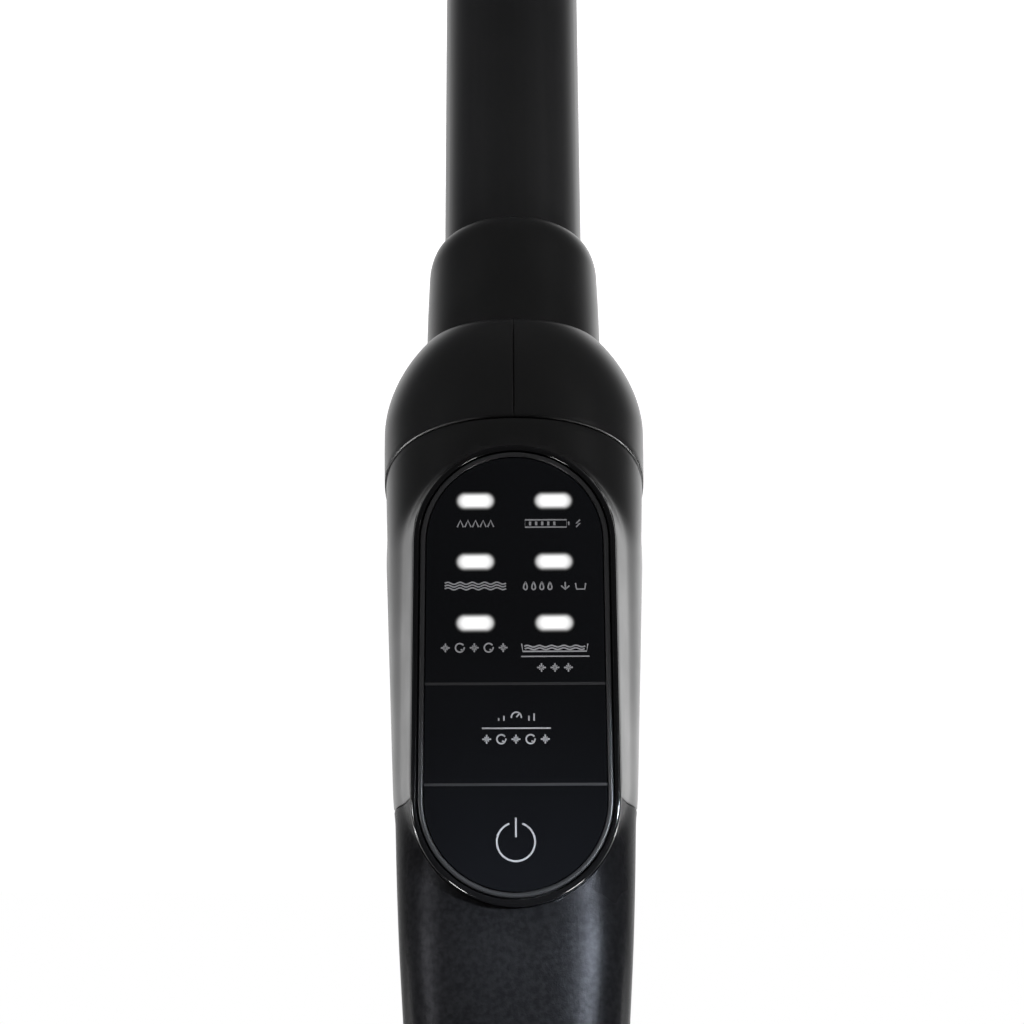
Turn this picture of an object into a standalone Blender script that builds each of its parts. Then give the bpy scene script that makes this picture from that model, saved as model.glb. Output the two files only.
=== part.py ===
"""Wet dry floor scrubber: an upright machine with a wet roller head and a display handle.

The head stands on its roller and two rear wheels.  A yoke reclines on the head, the upper body
swivels in the yoke, and a black tube carries the handle.  All lengths here are millimetres and
angles are degrees; build_mesh() turns them into metres.  +Z is up, the roller faces -Y, the user
stands on +Y, and the floor is Z = 0.
"""
import math

import bmesh
import bpy
from mathutils import Matrix, Vector

MM = 0.001                  # one millimetre in Blender's metres
GAP = 0.3                   # clearance between neighbouring pieces

# Handle.  s runs down the pole from the panel's reference point, h runs from the pole to the user.
POLE_Y = 20.0               # pole axis, measured from the middle of the machine
HANDLE_Z = 945.0            # height of the handle's reference point s = 0
TUBE_R = 15.0
TUBE_WALL = 1.75
TUBE_BOTTOM_Z = 598.0
TUBE_TOP_S = 14.0
COLLAR_TIP_S = 63.0
COLLAR_BACK_S = 17.0
COLLAR_TIP_R = 18.4
COLLAR_BACK_R = 19.2
COLLAR_EDGE = 3.4
SHELL_WALL = 2.0
NOSE_S = 16.0               # where the nose starts to round off
NOSE_LENGTH = 26.5
NOSE_MOUTH_S = 35.3
SECTION_H = 2.0             # the sections' widest line lies this far on the user's side
UPPER_SEAM_S = 2.8
UPPER_SEAM_SLANT = 0.4      # the upper seam leans along the pole by this much per unit of h
LOWER_SEAM_S = -63.6
GRIP_END_S = -172.0
CAP_END_S = -183.0
SEAM_STEP = 0.35            # the panel cover stands this far inside the nose
BEND_START_S = -90.0
BEND_RATE = 0.0016          # the grip curves towards the user with the square of the distance
# s, half width, user side, pole side, squareness of the section
HANDLE_STATIONS = (
    (16.0, 27.6, 25.0, -21.0, 2.2),
    (2.0, 27.3, 25.0, -21.0, 3.6),
    (-20.0, 26.4, 25.0, -20.5, 5.0),
    (-60.0, 24.7, 25.0, -18.5, 4.6),
    (-79.0, 23.75, 25.0, -17.6, 3.6),
    (-93.0, 22.9, 24.2, -17.0, 2.7),
    (-108.0, 21.85, 22.4, -16.6, 2.3),
    (-130.0, 20.4, 20.6, -16.4, 2.2),
    (-155.0, 19.8, 20.2, -16.6, 2.2),
    (-183.0, 20.4, 20.6, -17.0, 2.2),
)

# Control panel, an obround on the user's side of the handle.
PANEL_H = 25.6              # top of the bezel
PANEL_TOP_S = 7.2
PANEL_BOTTOM_S = -84.0
BEZEL_HALF = 20.0
BEZEL_RIM = 2.5
BEZEL_DEPTH = 5.0
WINDOW_DROP = 0.5           # the plates lie this far below the bezel's top
WINDOW_THICK = 1.2
KEY_GAP = 0.4
SPEED_KEY_TOP_S = -42.1
POWER_KEY_TOP_S = -61.5
INDICATOR_ROWS = (-4.6, -17.3, -29.8)
INDICATOR_X = 7.7
INDICATOR_HALF = (3.45, 1.6)

# Upper body.
BODY_HALF_X = 52.0
BODY_REAR_Y = 52.0
BODY_BOTTOM_Z = 168.0
BODY_TOP_Z = 600.0
POD_HALF_X = 60.0
POD_FRONT_Y = -100.0
POD_BOTTOM_Z = 427.0
WALL = 2.5
SOCKET_TOP_Z = 694.0
SOCKET_R = 20.0

# Tanks.
DIRTY_BOTTOM_Z = 168.0
DIRTY_TOP_Z = 400.0
DIRTY_LID_TOP_Z = 424.0
DIRTY_REAR_Y = -6.0
CLEAN_FRONT_Y = 53.0
CLEAN_REAR_Y = 128.0
CLEAN_HALF_X = 50.0
CLEAN_BOTTOM_Z = 182.0
CLEAN_TOP_Z = 424.0
CLEAN_FILL_Y = 92.0

# Neck and head.
PIVOT_Y = 30.0
PIVOT_Z = 78.0
PIN_R = 5.0
YOKE_HALF_X = 46.0
YOKE_ARM = 13.0
YOKE_TOP_Z = 136.0
HOSE_R = 14.0
BALL_R = 17.0
HEAD_HALF_X = 135.0
HEAD_FRONT_Y = -128.0
ROLLER_Y = -88.0
ROLLER_R = 28.0
CORE_R = 20.0
ROLLER_LEFT_X = -108.0
ROLLER_RIGHT_X = 122.0
COVER_R = 34.0
BAY_REAR_Y = -57.5
WHEEL_Y = 62.0
WHEEL_R = 24.0
WHEEL_X = 104.0
WHEEL_HALF = 9.0
MOTOR_Y = -30.0
MOTOR_Z = 32.0
ROLLER_PULLEY_R = 14.0
MOTOR_PULLEY_R = 7.0

ROUND = 20                  # sides of an ordinary round piece

MATERIALS = {}


def clear_scene():
    """Removes what the scene holds at the start."""
    for item in list(bpy.data.objects):
        bpy.data.objects.remove(item, do_unlink=True)


def material(name, colour, roughness, metallic=0.0, alpha=1.0):
    """Makes one Principled material and remembers it under its name."""
    made = bpy.data.materials.new(name)
    made.use_nodes = True
    shader = made.node_tree.nodes["Principled BSDF"]
    shader.inputs["Base Color"].default_value = (*colour, 1.0)
    shader.inputs["Roughness"].default_value = roughness
    shader.inputs["Metallic"].default_value = metallic
    shader.inputs["Alpha"].default_value = alpha
    made.diffuse_color = (*colour, alpha)
    MATERIALS[name] = made


def make_materials():
    """The finishes of the machine."""
    material("tube_black", (0.012, 0.012, 0.013), 0.35, 0.6)
    material("shell_black", (0.010, 0.010, 0.011), 0.38)
    material("grip_black", (0.014, 0.014, 0.015), 0.6)
    material("bezel_black", (0.006, 0.006, 0.007), 0.12)
    material("panel_glass", (0.007, 0.007, 0.009), 0.06)
    material("light_guide", (0.85, 0.87, 0.9), 0.3)
    material("circuit_green", (0.02, 0.12, 0.05), 0.45)
    material("screw_steel", (0.55, 0.55, 0.56), 0.3, 1.0)
    material("clear_smoke", (0.12, 0.13, 0.14), 0.08, 0.0, 0.45)
    material("inner_grey", (0.10, 0.10, 0.11), 0.5)
    material("motor_metal", (0.42, 0.42, 0.43), 0.35, 1.0)
    material("battery_wrap", (0.02, 0.03, 0.05), 0.4)
    material("filter_white", (0.75, 0.75, 0.72), 0.9)
    material("seal_rubber", (0.015, 0.015, 0.015), 0.8)
    material("roller_fabric", (0.32, 0.33, 0.35), 0.95)
    material("hose_grey", (0.05, 0.05, 0.055), 0.5)


# ---------------------------------------------------------------- mesh helpers

def build_mesh(name, points, faces):
    """A mesh in metres from points in millimetres, with its faces pointing out."""
    mesh = bpy.data.meshes.new(name)
    work = bmesh.new()
    corners = [work.verts.new(Vector(point) * MM) for point in points]
    for face in faces:
        work.faces.new([corners[index] for index in face])
    bmesh.ops.recalc_face_normals(work, faces=work.faces)
    work.to_mesh(mesh)
    work.free()
    return mesh


def add_object(name, points, faces, finish=None):
    """An object whose mesh lies at its place in the machine."""
    made = bpy.data.objects.new(name, build_mesh(name, points, faces))
    bpy.context.scene.collection.objects.link(made)
    if finish:
        made.data.materials.append(MATERIALS[finish])
    return made


def evaluated_mesh(item):
    """The item's mesh with its modifiers applied."""
    graph = bpy.context.evaluated_depsgraph_get()
    graph.update()
    return bpy.data.meshes.new_from_object(item.evaluated_get(graph))


def apply_modifiers(item):
    """Replaces the item's mesh by its modified one."""
    mesh = evaluated_mesh(item)
    item.modifiers.clear()
    item.data = mesh


def combine(item, other, operation):
    """Applies one exact Boolean and removes the other object."""
    step = item.modifiers.new("shape", "BOOLEAN")
    step.operation = operation
    step.solver = "EXACT"
    step.object = other
    apply_modifiers(item)
    bpy.data.objects.remove(other, do_unlink=True)
    return item


def cut(item, *cutters):
    """Takes each cutter out of the item."""
    for cutter in cutters:
        combine(item, cutter, "DIFFERENCE")
    return item


def join(item, *others):
    """Adds each other solid to the item."""
    for other in others:
        combine(item, other, "UNION")
    return item


def bevel(item, width, segments=2, angle=40.0):
    """Rounds the item's sharp edges."""
    step = item.modifiers.new("edges", "BEVEL")
    step.width = width * MM
    step.segments = segments
    step.limit_method = "ANGLE"
    step.angle_limit = math.radians(angle)
    step.use_clamp_overlap = True
    apply_modifiers(item)
    return item


def smooth(item, angle=35.0):
    """Shades the item smooth, except across its sharp edges."""
    item.data.shade_smooth()
    item.data.set_sharp_from_angle(angle=math.radians(angle))
    return item


def pivot_at(item, point):
    """Moves the item's origin to its joint's axis."""
    origin = Vector(point) * MM
    item.data.transform(Matrix.Translation(-origin))
    item.location = origin
    return item


def loft(name, rings, finish=None):
    """A closed solid through rings that have the same number of points."""
    count = len(rings[0])
    points = [point for ring in rings for point in ring]
    faces = []
    for row in range(len(rings) - 1):
        for column in range(count):
            after = (column + 1) % count
            low, high = row * count, (row + 1) * count
            faces.append((low + column, low + after, high + after, high + column))
    faces.append(tuple(range(count)))
    faces.append(tuple(range((len(rings) - 1) * count, len(rings) * count)))
    return add_object(name, points, faces, finish)


def box(name, low, high, finish=None):
    """A block between two corners."""
    (x0, y0, z0), (x1, y1, z1) = low, high
    rings = [[(x0, y0, z), (x1, y0, z), (x1, y1, z), (x0, y1, z)] for z in (z0, z1)]
    return loft(name, rings, finish)


AXES = {
    "X": lambda along, across, up: (along, across, up),
    "Y": lambda along, across, up: (across, along, up),
    "Z": lambda along, across, up: (across, up, along),
}


def turned(name, profile, centre, axis="Z", finish=None, sides=ROUND):
    """A solid turned about an axis from a closed outline of (along, radius) points.

    centre holds the two coordinates of the axis.  A radius of 0 becomes one shared point.
    """
    points = []
    rows = []
    for along, radius in profile:
        if radius == 0:
            rows.append([len(points)] * sides)
            points.append(AXES[axis](along, *centre))
            continue
        rows.append(list(range(len(points), len(points) + sides)))
        for side in range(sides):
            angle = 2 * math.pi * (side + 0.5) / sides
            across = centre[0] + radius * math.cos(angle)
            up = centre[1] + radius * math.sin(angle)
            points.append(AXES[axis](along, across, up))
    faces = []
    closed = profile[0][1] > 0 and profile[-1][1] > 0
    for row in range(len(rows) if closed else len(rows) - 1):
        here, there = rows[row], rows[(row + 1) % len(rows)]
        for side in range(sides):
            after = (side + 1) % sides
            corners = (here[side], here[after], there[after], there[side])
            face = list(dict.fromkeys(corners))
            if len(face) > 2:
                faces.append(face)
    return add_object(name, points, faces, finish)


def disc(name, start, end, radius, centre, axis="Z", finish=None, sides=ROUND):
    """A plain round bar between two places along its axis."""
    profile = ((start, 0), (start, radius), (end, radius), (end, 0))
    return turned(name, profile, centre, axis, finish, sides)


def pipe(name, start, end, outer, inner, centre, axis="Z", finish=None, sides=ROUND):
    """A round tube with open ends."""
    profile = ((start, inner), (start, outer), (end, outer), (end, inner))
    return turned(name, profile, centre, axis, finish, sides)


def prism(name, outline, start, end, axis="Z", finish=None):
    """An outline of (across, up) points drawn out along an axis."""
    rings = [[AXES[axis](along, across, up) for across, up in outline] for along in (start, end)]
    return loft(name, rings, finish)


def arc(centre, radius, first, last, steps):
    """Points along an arc between two angles."""
    result = []
    for step in range(steps + 1):
        angle = math.radians(first + (last - first) * step / steps)
        result.append((centre[0] + radius * math.cos(angle), centre[1] + radius * math.sin(angle)))
    return result


def rounded_rectangle(low, high, radius, steps=3, far_radius=None):
    """The outline of a rectangle with round corners; far_radius is for the corners at high."""
    (x0, y0), (x1, y1) = low, high
    far = radius if far_radius is None else far_radius
    corners = (
        ((x1 - far, y1 - far), far, 0),
        ((x0 + far, y1 - far), far, 90),
        ((x0 + radius, y0 + radius), radius, 180),
        ((x1 - radius, y0 + radius), radius, 270),
    )
    result = []
    for centre, size, first in corners:
        result += arc(centre, size, first, first + 90, steps)
    return result


def rounded_block(name, low, high, radius, finish=None, steps=3, edge=0.0, far_radius=None):
    """A block whose upright edges are round, and whose other edges may be eased."""
    far = radius if far_radius is None else far_radius
    outline = rounded_rectangle(low[:2], high[:2], radius, steps, far)
    z0, z1 = low[2], high[2]
    if not edge:
        return prism(name, outline, z0, z1, "Z", finish)
    inset = rounded_rectangle(
        (low[0] + edge, low[1] + edge), (high[0] - edge, high[1] - edge), radius - edge / 2, steps,
        far - edge / 2)
    levels = ((inset, z0), (outline, z0 + edge), (outline, z1 - edge), (inset, z1))
    return loft(name, [[(x, y, z) for x, y in shape] for shape, z in levels], finish)


# ---------------------------------------------------------------- handle

def handle_point(x, s, h):
    """Turns the handle's own measures into the machine's coordinates."""
    return (x, POLE_Y + h, HANDLE_Z - s)


def handle_bend(s):
    """How far the grip has curved towards the user at s."""
    return BEND_RATE * max(0.0, BEND_START_S - s) ** 2


def handle_section(s):
    """Half width, user side, pole side and squareness of the handle at s."""
    if s >= NOSE_S:
        away = min(1.0, (s - NOSE_S) / NOSE_LENGTH)
        width = (1 - away ** 2.3) ** (1 / 2.3)
        height = (1 - away ** 3.2) ** (1 / 3.2)
        first = HANDLE_STATIONS[0]
        top = SECTION_H + (first[2] - SECTION_H) * height
        bottom = first[3] + 0.8 * (1 - height)
        return first[1] * width, top, bottom, first[4]
    for first, second in zip(HANDLE_STATIONS, HANDLE_STATIONS[1:]):
        if s >= second[0]:
            break
    share = min(1.0, max(0.0, (first[0] - s) / (first[0] - second[0])))
    return tuple(a + (b - a) * share for a, b in zip(first[1:], second[1:]))


def handle_surface(s, slant, angle, inset):
    """The (x, s, h) of a surface point on a section plane that leans by slant."""
    turn = math.radians(angle)
    height, at = 0.0, s
    for _ in range(8):
        at = s + slant * height
        width, top, bottom, squareness = handle_section(at)
        reach = (top if math.sin(turn) >= 0 else -bottom + 2 * SECTION_H) - SECTION_H - inset
        power = 2 / squareness
        rise = math.copysign(abs(math.sin(turn)) ** power, math.sin(turn))
        height = SECTION_H + reach * rise
    side = math.copysign(abs(math.cos(turn)) ** power, math.cos(turn))
    return (width - inset) * side, at, height + handle_bend(at)


def shell_piece(name, stations, first, last, steps, finish, inset=0.0, hole=0.0):
    """An open shell through (s, slant) stations, between two angles round the handle.

    hole keeps the inner face at least that far from the pole's axis.
    """
    rings = []
    for s, slant in stations:
        outer, inner = [], []
        for step in range(steps + 1):
            angle = first + (last - first) * step / steps
            outer.append(handle_surface(s, slant, angle, inset))
            x, at, h = handle_surface(s, slant, angle, inset + SHELL_WALL)
            away = math.hypot(x, h)
            if away < hole:
                x, h = x * hole / away, h * hole / away
            inner.append((x, at, h))
        rings.append([handle_point(*point) for point in outer + inner[::-1]])
    return loft(name, rings, finish)


def spread(first, last, steps, slant_first=0.0, slant_last=0.0):
    """Evenly spread (s, slant) stations."""
    shares = [step / steps for step in range(steps + 1)]
    return [(first + (last - first) * t, slant_first + (slant_last - slant_first) * t)
            for t in shares]


def obround(half, top_s, bottom_s, steps=12):
    """An obround outline of (x, s) points on the panel."""
    upper = arc((0.0, top_s - half), half, 0, 180, steps)
    lower = arc((0.0, bottom_s + half), half, 180, 360, steps)
    return upper + lower


def panel_plate(name, outline, low_h, high_h, finish=None):
    """A plate with an (x, s) outline, square to the panel."""
    rings = [[handle_point(x, s, h) for x, s in outline] for h in (low_h, high_h)]
    return loft(name, rings, finish)


def clipped(outline, top_s, bottom_s):
    """The stretch of a convex (x, s) outline between two straight cuts."""
    result = []
    for (x0, s0), (x1, s1) in zip(outline, outline[1:] + outline[:1]):
        if bottom_s <= s0 <= top_s:
            result.append((x0, s0))
        crossings = []
        for level in (top_s, bottom_s):
            if (s0 - level) * (s1 - level) < 0:
                share = (level - s0) / (s1 - s0)
                crossings.append((share, (x0 + (x1 - x0) * share, level)))
        result += [point for _, point in sorted(crossings)]
    return result


def make_pole():
    """The aluminium tube and the collar that clamps it in the handle."""
    top_z = HANDLE_Z - TUBE_TOP_S
    pipe("pole_tube", TUBE_BOTTOM_Z, top_z, TUBE_R, TUBE_R - TUBE_WALL,
         (0.0, POLE_Y), "Z", "tube_black", 32)
    smooth(bpy.data.objects["pole_tube"])
    tip_z, back_z = HANDLE_Z - COLLAR_TIP_S, HANDLE_Z - COLLAR_BACK_S
    bore = TUBE_R + GAP
    profile = [(back_z, bore), (back_z, COLLAR_BACK_R)]
    profile += [(tip_z + 8.0, COLLAR_TIP_R), (tip_z + 3.5, COLLAR_TIP_R - 0.6)]
    profile += [(tip_z + 1.0, COLLAR_TIP_R - 1.6), (tip_z, COLLAR_TIP_R - COLLAR_EDGE + 0.9)]
    profile += [(tip_z, bore)]
    collar = turned("pole_collar", profile, (0.0, POLE_Y), "Z", "shell_black", 32)
    smooth(collar, 50)


def make_nose():
    """The two halves of the nose, split on the machine's middle plane."""
    stations = []
    for step in range(9):
        share = math.sin(math.radians(90 * step / 8))
        s = UPPER_SEAM_S + GAP / 2 + (NOSE_MOUTH_S - UPPER_SEAM_S) * share
        stations.append((s, UPPER_SEAM_SLANT * (1 - share)))
    hole = COLLAR_BACK_R + 2 * GAP
    for name, side in (("nose_left_shell", 180.0), ("nose_right_shell", 0.0)):
        half = shell_piece(name, stations, side - 90, side + 90, 12, "shell_black", hole=hole)
        sign = 1 if side == 0 else -1
        for vertex in half.data.vertices:
            if abs(vertex.co.x) < GAP / 2 * MM:
                vertex.co.x = sign * GAP / 2 * MM
        smooth(half)


def make_panel_housing():
    """The cover under the panel, the shell behind it and the two halves of the grip."""
    part_angle = 0.6
    cover = [(UPPER_SEAM_S - GAP / 2, UPPER_SEAM_SLANT)]
    cover += spread(-10.0, -50.0, 4, 0.3, 0.0) + [(LOWER_SEAM_S + GAP / 2, 0.0)]
    grip = spread(LOWER_SEAM_S - GAP / 2, GRIP_END_S, 9)
    pieces = (
        ("panel_cover", cover, part_angle, 180 - part_angle, "shell_black", SEAM_STEP),
        ("panel_under_shell", cover, 180 + part_angle, 360 - part_angle, "shell_black", SEAM_STEP),
        ("grip_upper_shell", grip, part_angle, 180 - part_angle, "grip_black", SEAM_STEP),
        ("grip_lower_shell", grip, 180 + part_angle, 360 - part_angle, "grip_black", SEAM_STEP),
    )
    for name, stations, first, last, finish, inset in pieces:
        shell_piece(name, stations, first, last, 12, finish, inset)
    for name in ("panel_cover", "grip_upper_shell"):
        outline = obround(BEZEL_HALF + GAP, PANEL_TOP_S + GAP, PANEL_BOTTOM_S - GAP)
        cut(bpy.data.objects[name], panel_plate("panel_hole", outline, 8.0, 40.0))
    for name, _, _, _, _, _ in pieces:
        smooth(bpy.data.objects[name])


def make_grip_end():
    """The cap that closes the grip's end."""
    rings = []
    for step in range(5):
        turn = math.radians(80 * step / 4)
        s = GRIP_END_S - GAP + (CAP_END_S - GRIP_END_S + GAP) * math.sin(turn) / math.sin(math.radians(80))
        inset = SEAM_STEP + 8.5 * (1 - math.cos(turn))
        rings.append([handle_point(*handle_surface(s, 0.0, 15.0 * side, inset))
                      for side in range(24)])
    smooth(loft("grip_end_cap", rings, "shell_black"))


def make_screws():
    """The screw that holds the two halves of the grip together, from the pole side."""
    s = -120.0
    z = HANDLE_Z - s
    shell = bpy.data.objects["grip_lower_shell"]
    y = POLE_Y + handle_bend(s) + handle_section(s)[2]
    cut(shell, disc("screw_hole", y - 5.0, y + 6.0, 3.2, (0.0, z), "Y", sides=16))
    smooth(shell)
    profile = ((y + 0.9, 0), (y + 0.9, 2.8), (y + 3.1, 2.8), (y + 3.1, 1.4), (y + 14.0, 1.4),
               (y + 15.5, 0))
    smooth(turned("handle_screw", profile, (0.0, z), "Y", "screw_steel", 16))


def make_panel():
    """The bezel, the glass plates that lie in it, and the electronics under them."""
    bezel = panel_plate("panel_bezel", obround(BEZEL_HALF, PANEL_TOP_S, PANEL_BOTTOM_S),
                        PANEL_H - BEZEL_DEPTH, PANEL_H, "bezel_black")
    inner = BEZEL_HALF - BEZEL_RIM
    top_s, bottom_s = PANEL_TOP_S - BEZEL_RIM, PANEL_BOTTOM_S + BEZEL_RIM
    cut(bezel, panel_plate("bezel_hole", obround(inner, top_s, bottom_s),
                           PANEL_H - BEZEL_DEPTH - 1, PANEL_H + 1))
    smooth(bezel)
    plate = obround(inner - GAP, top_s - GAP, bottom_s + GAP)
    glass_top = PANEL_H - WINDOW_DROP
    glass_bottom = glass_top - WINDOW_THICK
    half_gap = KEY_GAP / 2
    zones = (
        ("display_window", PANEL_TOP_S, SPEED_KEY_TOP_S + half_gap),
        ("speed_key", SPEED_KEY_TOP_S - half_gap, POWER_KEY_TOP_S + half_gap),
        ("power_key", POWER_KEY_TOP_S - half_gap, PANEL_BOTTOM_S),
    )
    for name, upper, lower in zones:
        zone = panel_plate(name, clipped(plate, upper, lower), glass_bottom, glass_top,
                           "panel_glass")
        if name != "display_window":
            middle = (max(lower, bottom_s) + min(upper, top_s)) / 2
            pivot_at(zone, handle_point(0.0, middle, glass_top))
    make_light_guide(glass_bottom)
    board_h = glass_bottom - 5.0
    board = obround(inner - 1.5, top_s - 1.5, bottom_s + 1.5, 6)
    panel_plate("panel_circuit_board", board, board_h - 1.6, board_h, "circuit_green")


def make_light_guide(glass_bottom):
    """A clear plate whose six bosses carry light up to the display window."""
    low = glass_bottom - 4.4
    outline = rounded_rectangle((-13.0, -35.0), (13.0, 0.0), 3.0)
    guide = panel_plate("indicator_light_guide", outline, low, low + 1.6, "light_guide")
    half_x, half_s = INDICATOR_HALF
    for side in (-1, 1):
        for row in INDICATOR_ROWS:
            x = side * INDICATOR_X
            lens = rounded_rectangle((x - half_x, row - half_s), (x + half_x, row + half_s),
                                     half_s - 0.01, 2)
            join(guide, panel_plate("guide_boss", lens, low + 0.8, glass_bottom - GAP))
    smooth(guide)


def make_handle():
    """Everything from the pole to the end of the grip."""
    make_pole()
    make_nose()
    make_panel_housing()
    make_grip_end()
    make_screws()
    make_panel()


# ---------------------------------------------------------------- upper body

def make_spine():
    """The channel at the back of the body, with its electrics and the pump."""
    spine = rounded_block("body_spine", (-BODY_HALF_X, GAP, BODY_BOTTOM_Z),
                          (BODY_HALF_X, BODY_REAR_Y, BODY_TOP_Z), 3.0, "shell_black",
                          far_radius=16.0)
    inside = BODY_HALF_X - 5.0
    cut(spine, box("spine_hollow", (-inside, WALL, BODY_BOTTOM_Z + WALL),
                   (inside, BODY_REAR_Y - WALL, BODY_TOP_Z - WALL)))
    cut(spine, box("pod_opening", (-inside, -5.0, POD_BOTTOM_Z + WALL),
                   (inside, WALL + 5.0, BODY_TOP_Z - WALL)))
    cut(spine, disc("pole_hole", BODY_TOP_Z - 8, BODY_TOP_Z + 5, SOCKET_R + 2 * GAP, (0.0, POLE_Y)))
    smooth(spine)
    rounded_block("battery_pack", (-38.0, 8.0, 190.0), (38.0, 44.0, 370.0), 9.0, "battery_wrap")
    box("main_circuit_board", (-36.0, 30.0, 384.0), (36.0, 31.6, 470.0), "circuit_green")
    pump = turned("water_pump", ((482.0, 0), (482.0, 13.0), (512.0, 13.0), (512.0, 8.0),
                                 (522.0, 8.0), (522.0, 0)), (-28.0, 28.0), "Z", "inner_grey", 16)
    smooth(pump)


def make_motor_pod():
    """The pod over the dirty tank that holds the suction motor and its impeller."""
    pod = rounded_block("motor_housing", (-POD_HALF_X, POD_FRONT_Y, POD_BOTTOM_Z),
                        (POD_HALF_X, -GAP, BODY_TOP_Z), 42.0, "shell_black", 6,
                        far_radius=8.0)
    inner = rounded_block("pod_hollow",
                          (WALL - POD_HALF_X, POD_FRONT_Y + WALL, POD_BOTTOM_Z + WALL),
                          (POD_HALF_X - WALL, 40.0, BODY_TOP_Z - WALL), 39.5, None, 6,
                          far_radius=5.0)
    cut(pod, inner, disc("air_inlet", POD_BOTTOM_Z - 5, POD_BOTTOM_Z + 8, 15.0, (0.0, -52.0)))
    for side in (-1, 1):
        for row in range(4):
            z = 500.0 + 11.0 * row
            x0, x1 = sorted((side * (POD_HALF_X - 8.0), side * (POD_HALF_X + 8.0)))
            cut(pod, box("vent", (x0, -46.0, z), (x1, -14.0, z + 4.0)))
    smooth(pod)
    centre = (0.0, -52.0)
    motor = turned("suction_motor", ((474.0, 30.0), (474.0, 38.0), (494.0, 38.0), (500.0, 30.0),
                                     (548.0, 30.0), (552.0, 24.0), (552.0, 0), (496.0, 0),
                                     (496.0, 28.0), (490.0, 30.0)),
                   centre, "Z", "motor_metal")
    smooth(motor)
    fan = turned("suction_impeller", ((476.0, 0), (476.0, 12.0), (479.0, 27.0), (482.0, 27.0),
                                      (486.0, 8.0), (492.0, 6.0), (492.0, 0)),
                 centre, "Z", "inner_grey", 16)
    pivot_at(smooth(fan), (*centre, 480.0))


def make_top_cover():
    """The sloping cover round the pole, the pole's socket and its release button."""
    levels = (
        (BODY_TOP_Z + GAP, POD_HALF_X, POD_FRONT_Y, BODY_REAR_Y, 42.0, 20.0),
        (BODY_TOP_Z + 12.0, POD_HALF_X - 1.5, POD_FRONT_Y + 5.0, BODY_REAR_Y - 1.0, 40.0, 21.0),
        (BODY_TOP_Z + 32.0, 47.0, -66.0, BODY_REAR_Y - 3.0, 34.0, 23.0),
        (BODY_TOP_Z + 52.0, 32.0, -24.0, BODY_REAR_Y - 4.0, 27.0, 24.0),
        (BODY_TOP_Z + 60.0, 26.5, -8.0, POLE_Y + 26.5, 25.0, 24.5),
    )
    outer, inner = [], []
    for z, half, front, rear, radius, far in levels:
        outline = rounded_rectangle((-half, front), (half, rear), radius, 5, far)
        outer.append([(x, y, z) for x, y in outline])
        outline = rounded_rectangle((WALL - half, front + WALL), (half - WALL, rear - WALL),
                                    radius - WALL, 5, far - WALL)
        inner.append([(x, y, z - WALL) for x, y in outline])
    cover = loft("body_top_cover", outer, "shell_black")
    cut(cover, loft("cover_hollow", [[(x, y, z - 4) for x, y, z in inner[0]]] + inner[1:]))
    cut(cover, disc("pole_hole", BODY_TOP_Z, BODY_TOP_Z + 80, SOCKET_R + 2 * GAP, (0.0, POLE_Y)))
    smooth(cover)
    socket = turned("pole_socket", ((592.0, 0), (592.0, SOCKET_R), (SOCKET_TOP_Z - 3, SOCKET_R),
                                    (SOCKET_TOP_Z, SOCKET_R - 2.5), (SOCKET_TOP_Z, TUBE_R + GAP),
                                    (TUBE_BOTTOM_Z - GAP, TUBE_R + GAP), (TUBE_BOTTOM_Z - GAP, 0)),
                    (0.0, POLE_Y), "Z", "shell_black", 32)
    hole_low, hole_high = SOCKET_TOP_Z - 24.0, SOCKET_TOP_Z - 8.0
    cut(socket, box("button_hole", (-6.5, POLE_Y - 26.0, hole_low), (6.5, POLE_Y - 16.0, hole_high)))
    smooth(socket)
    button = rounded_block("pole_release_button", (-6.0, POLE_Y - SOCKET_R - 3.5, hole_low + 0.5),
                           (6.0, POLE_Y - TUBE_R - 4.2, hole_high - 0.5), 1.5, "inner_grey")
    pivot_at(smooth(button), (0.0, POLE_Y - SOCKET_R, (hole_low + hole_high) / 2))


def make_cradle():
    """The foot of the body: it carries the dirty tank and turns on the yoke."""
    cradle = rounded_block("tank_cradle", (-POD_HALF_X, POD_FRONT_Y, YOKE_TOP_Z + 5.0),
                           (POD_HALF_X, BODY_REAR_Y, BODY_BOTTOM_Z - 2.0), 42.0, "shell_black", 5,
                           edge=3.0, far_radius=20.0)
    cut(cradle, disc("hose_hole", YOKE_TOP_Z, BODY_BOTTOM_Z + 5, HOSE_R + 3.0, (0.0, PIVOT_Y)))
    cut(cradle, disc("tank_duct", YOKE_TOP_Z + 14, BODY_BOTTOM_Z + 5, 12.0, (0.0, -52.0)))
    cut(cradle, box("cross_duct", (-10.0, -52.0, YOKE_TOP_Z + 14.0), (10.0, PIVOT_Y, 160.0)))
    smooth(cradle)
    pipe("swivel_ring", YOKE_TOP_Z + GAP, YOKE_TOP_Z + 5.0 - GAP, 30.0, HOSE_R + 3.0,
         (0.0, PIVOT_Y), "Z", "motor_metal")
    smooth(bpy.data.objects["swivel_ring"])


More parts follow.
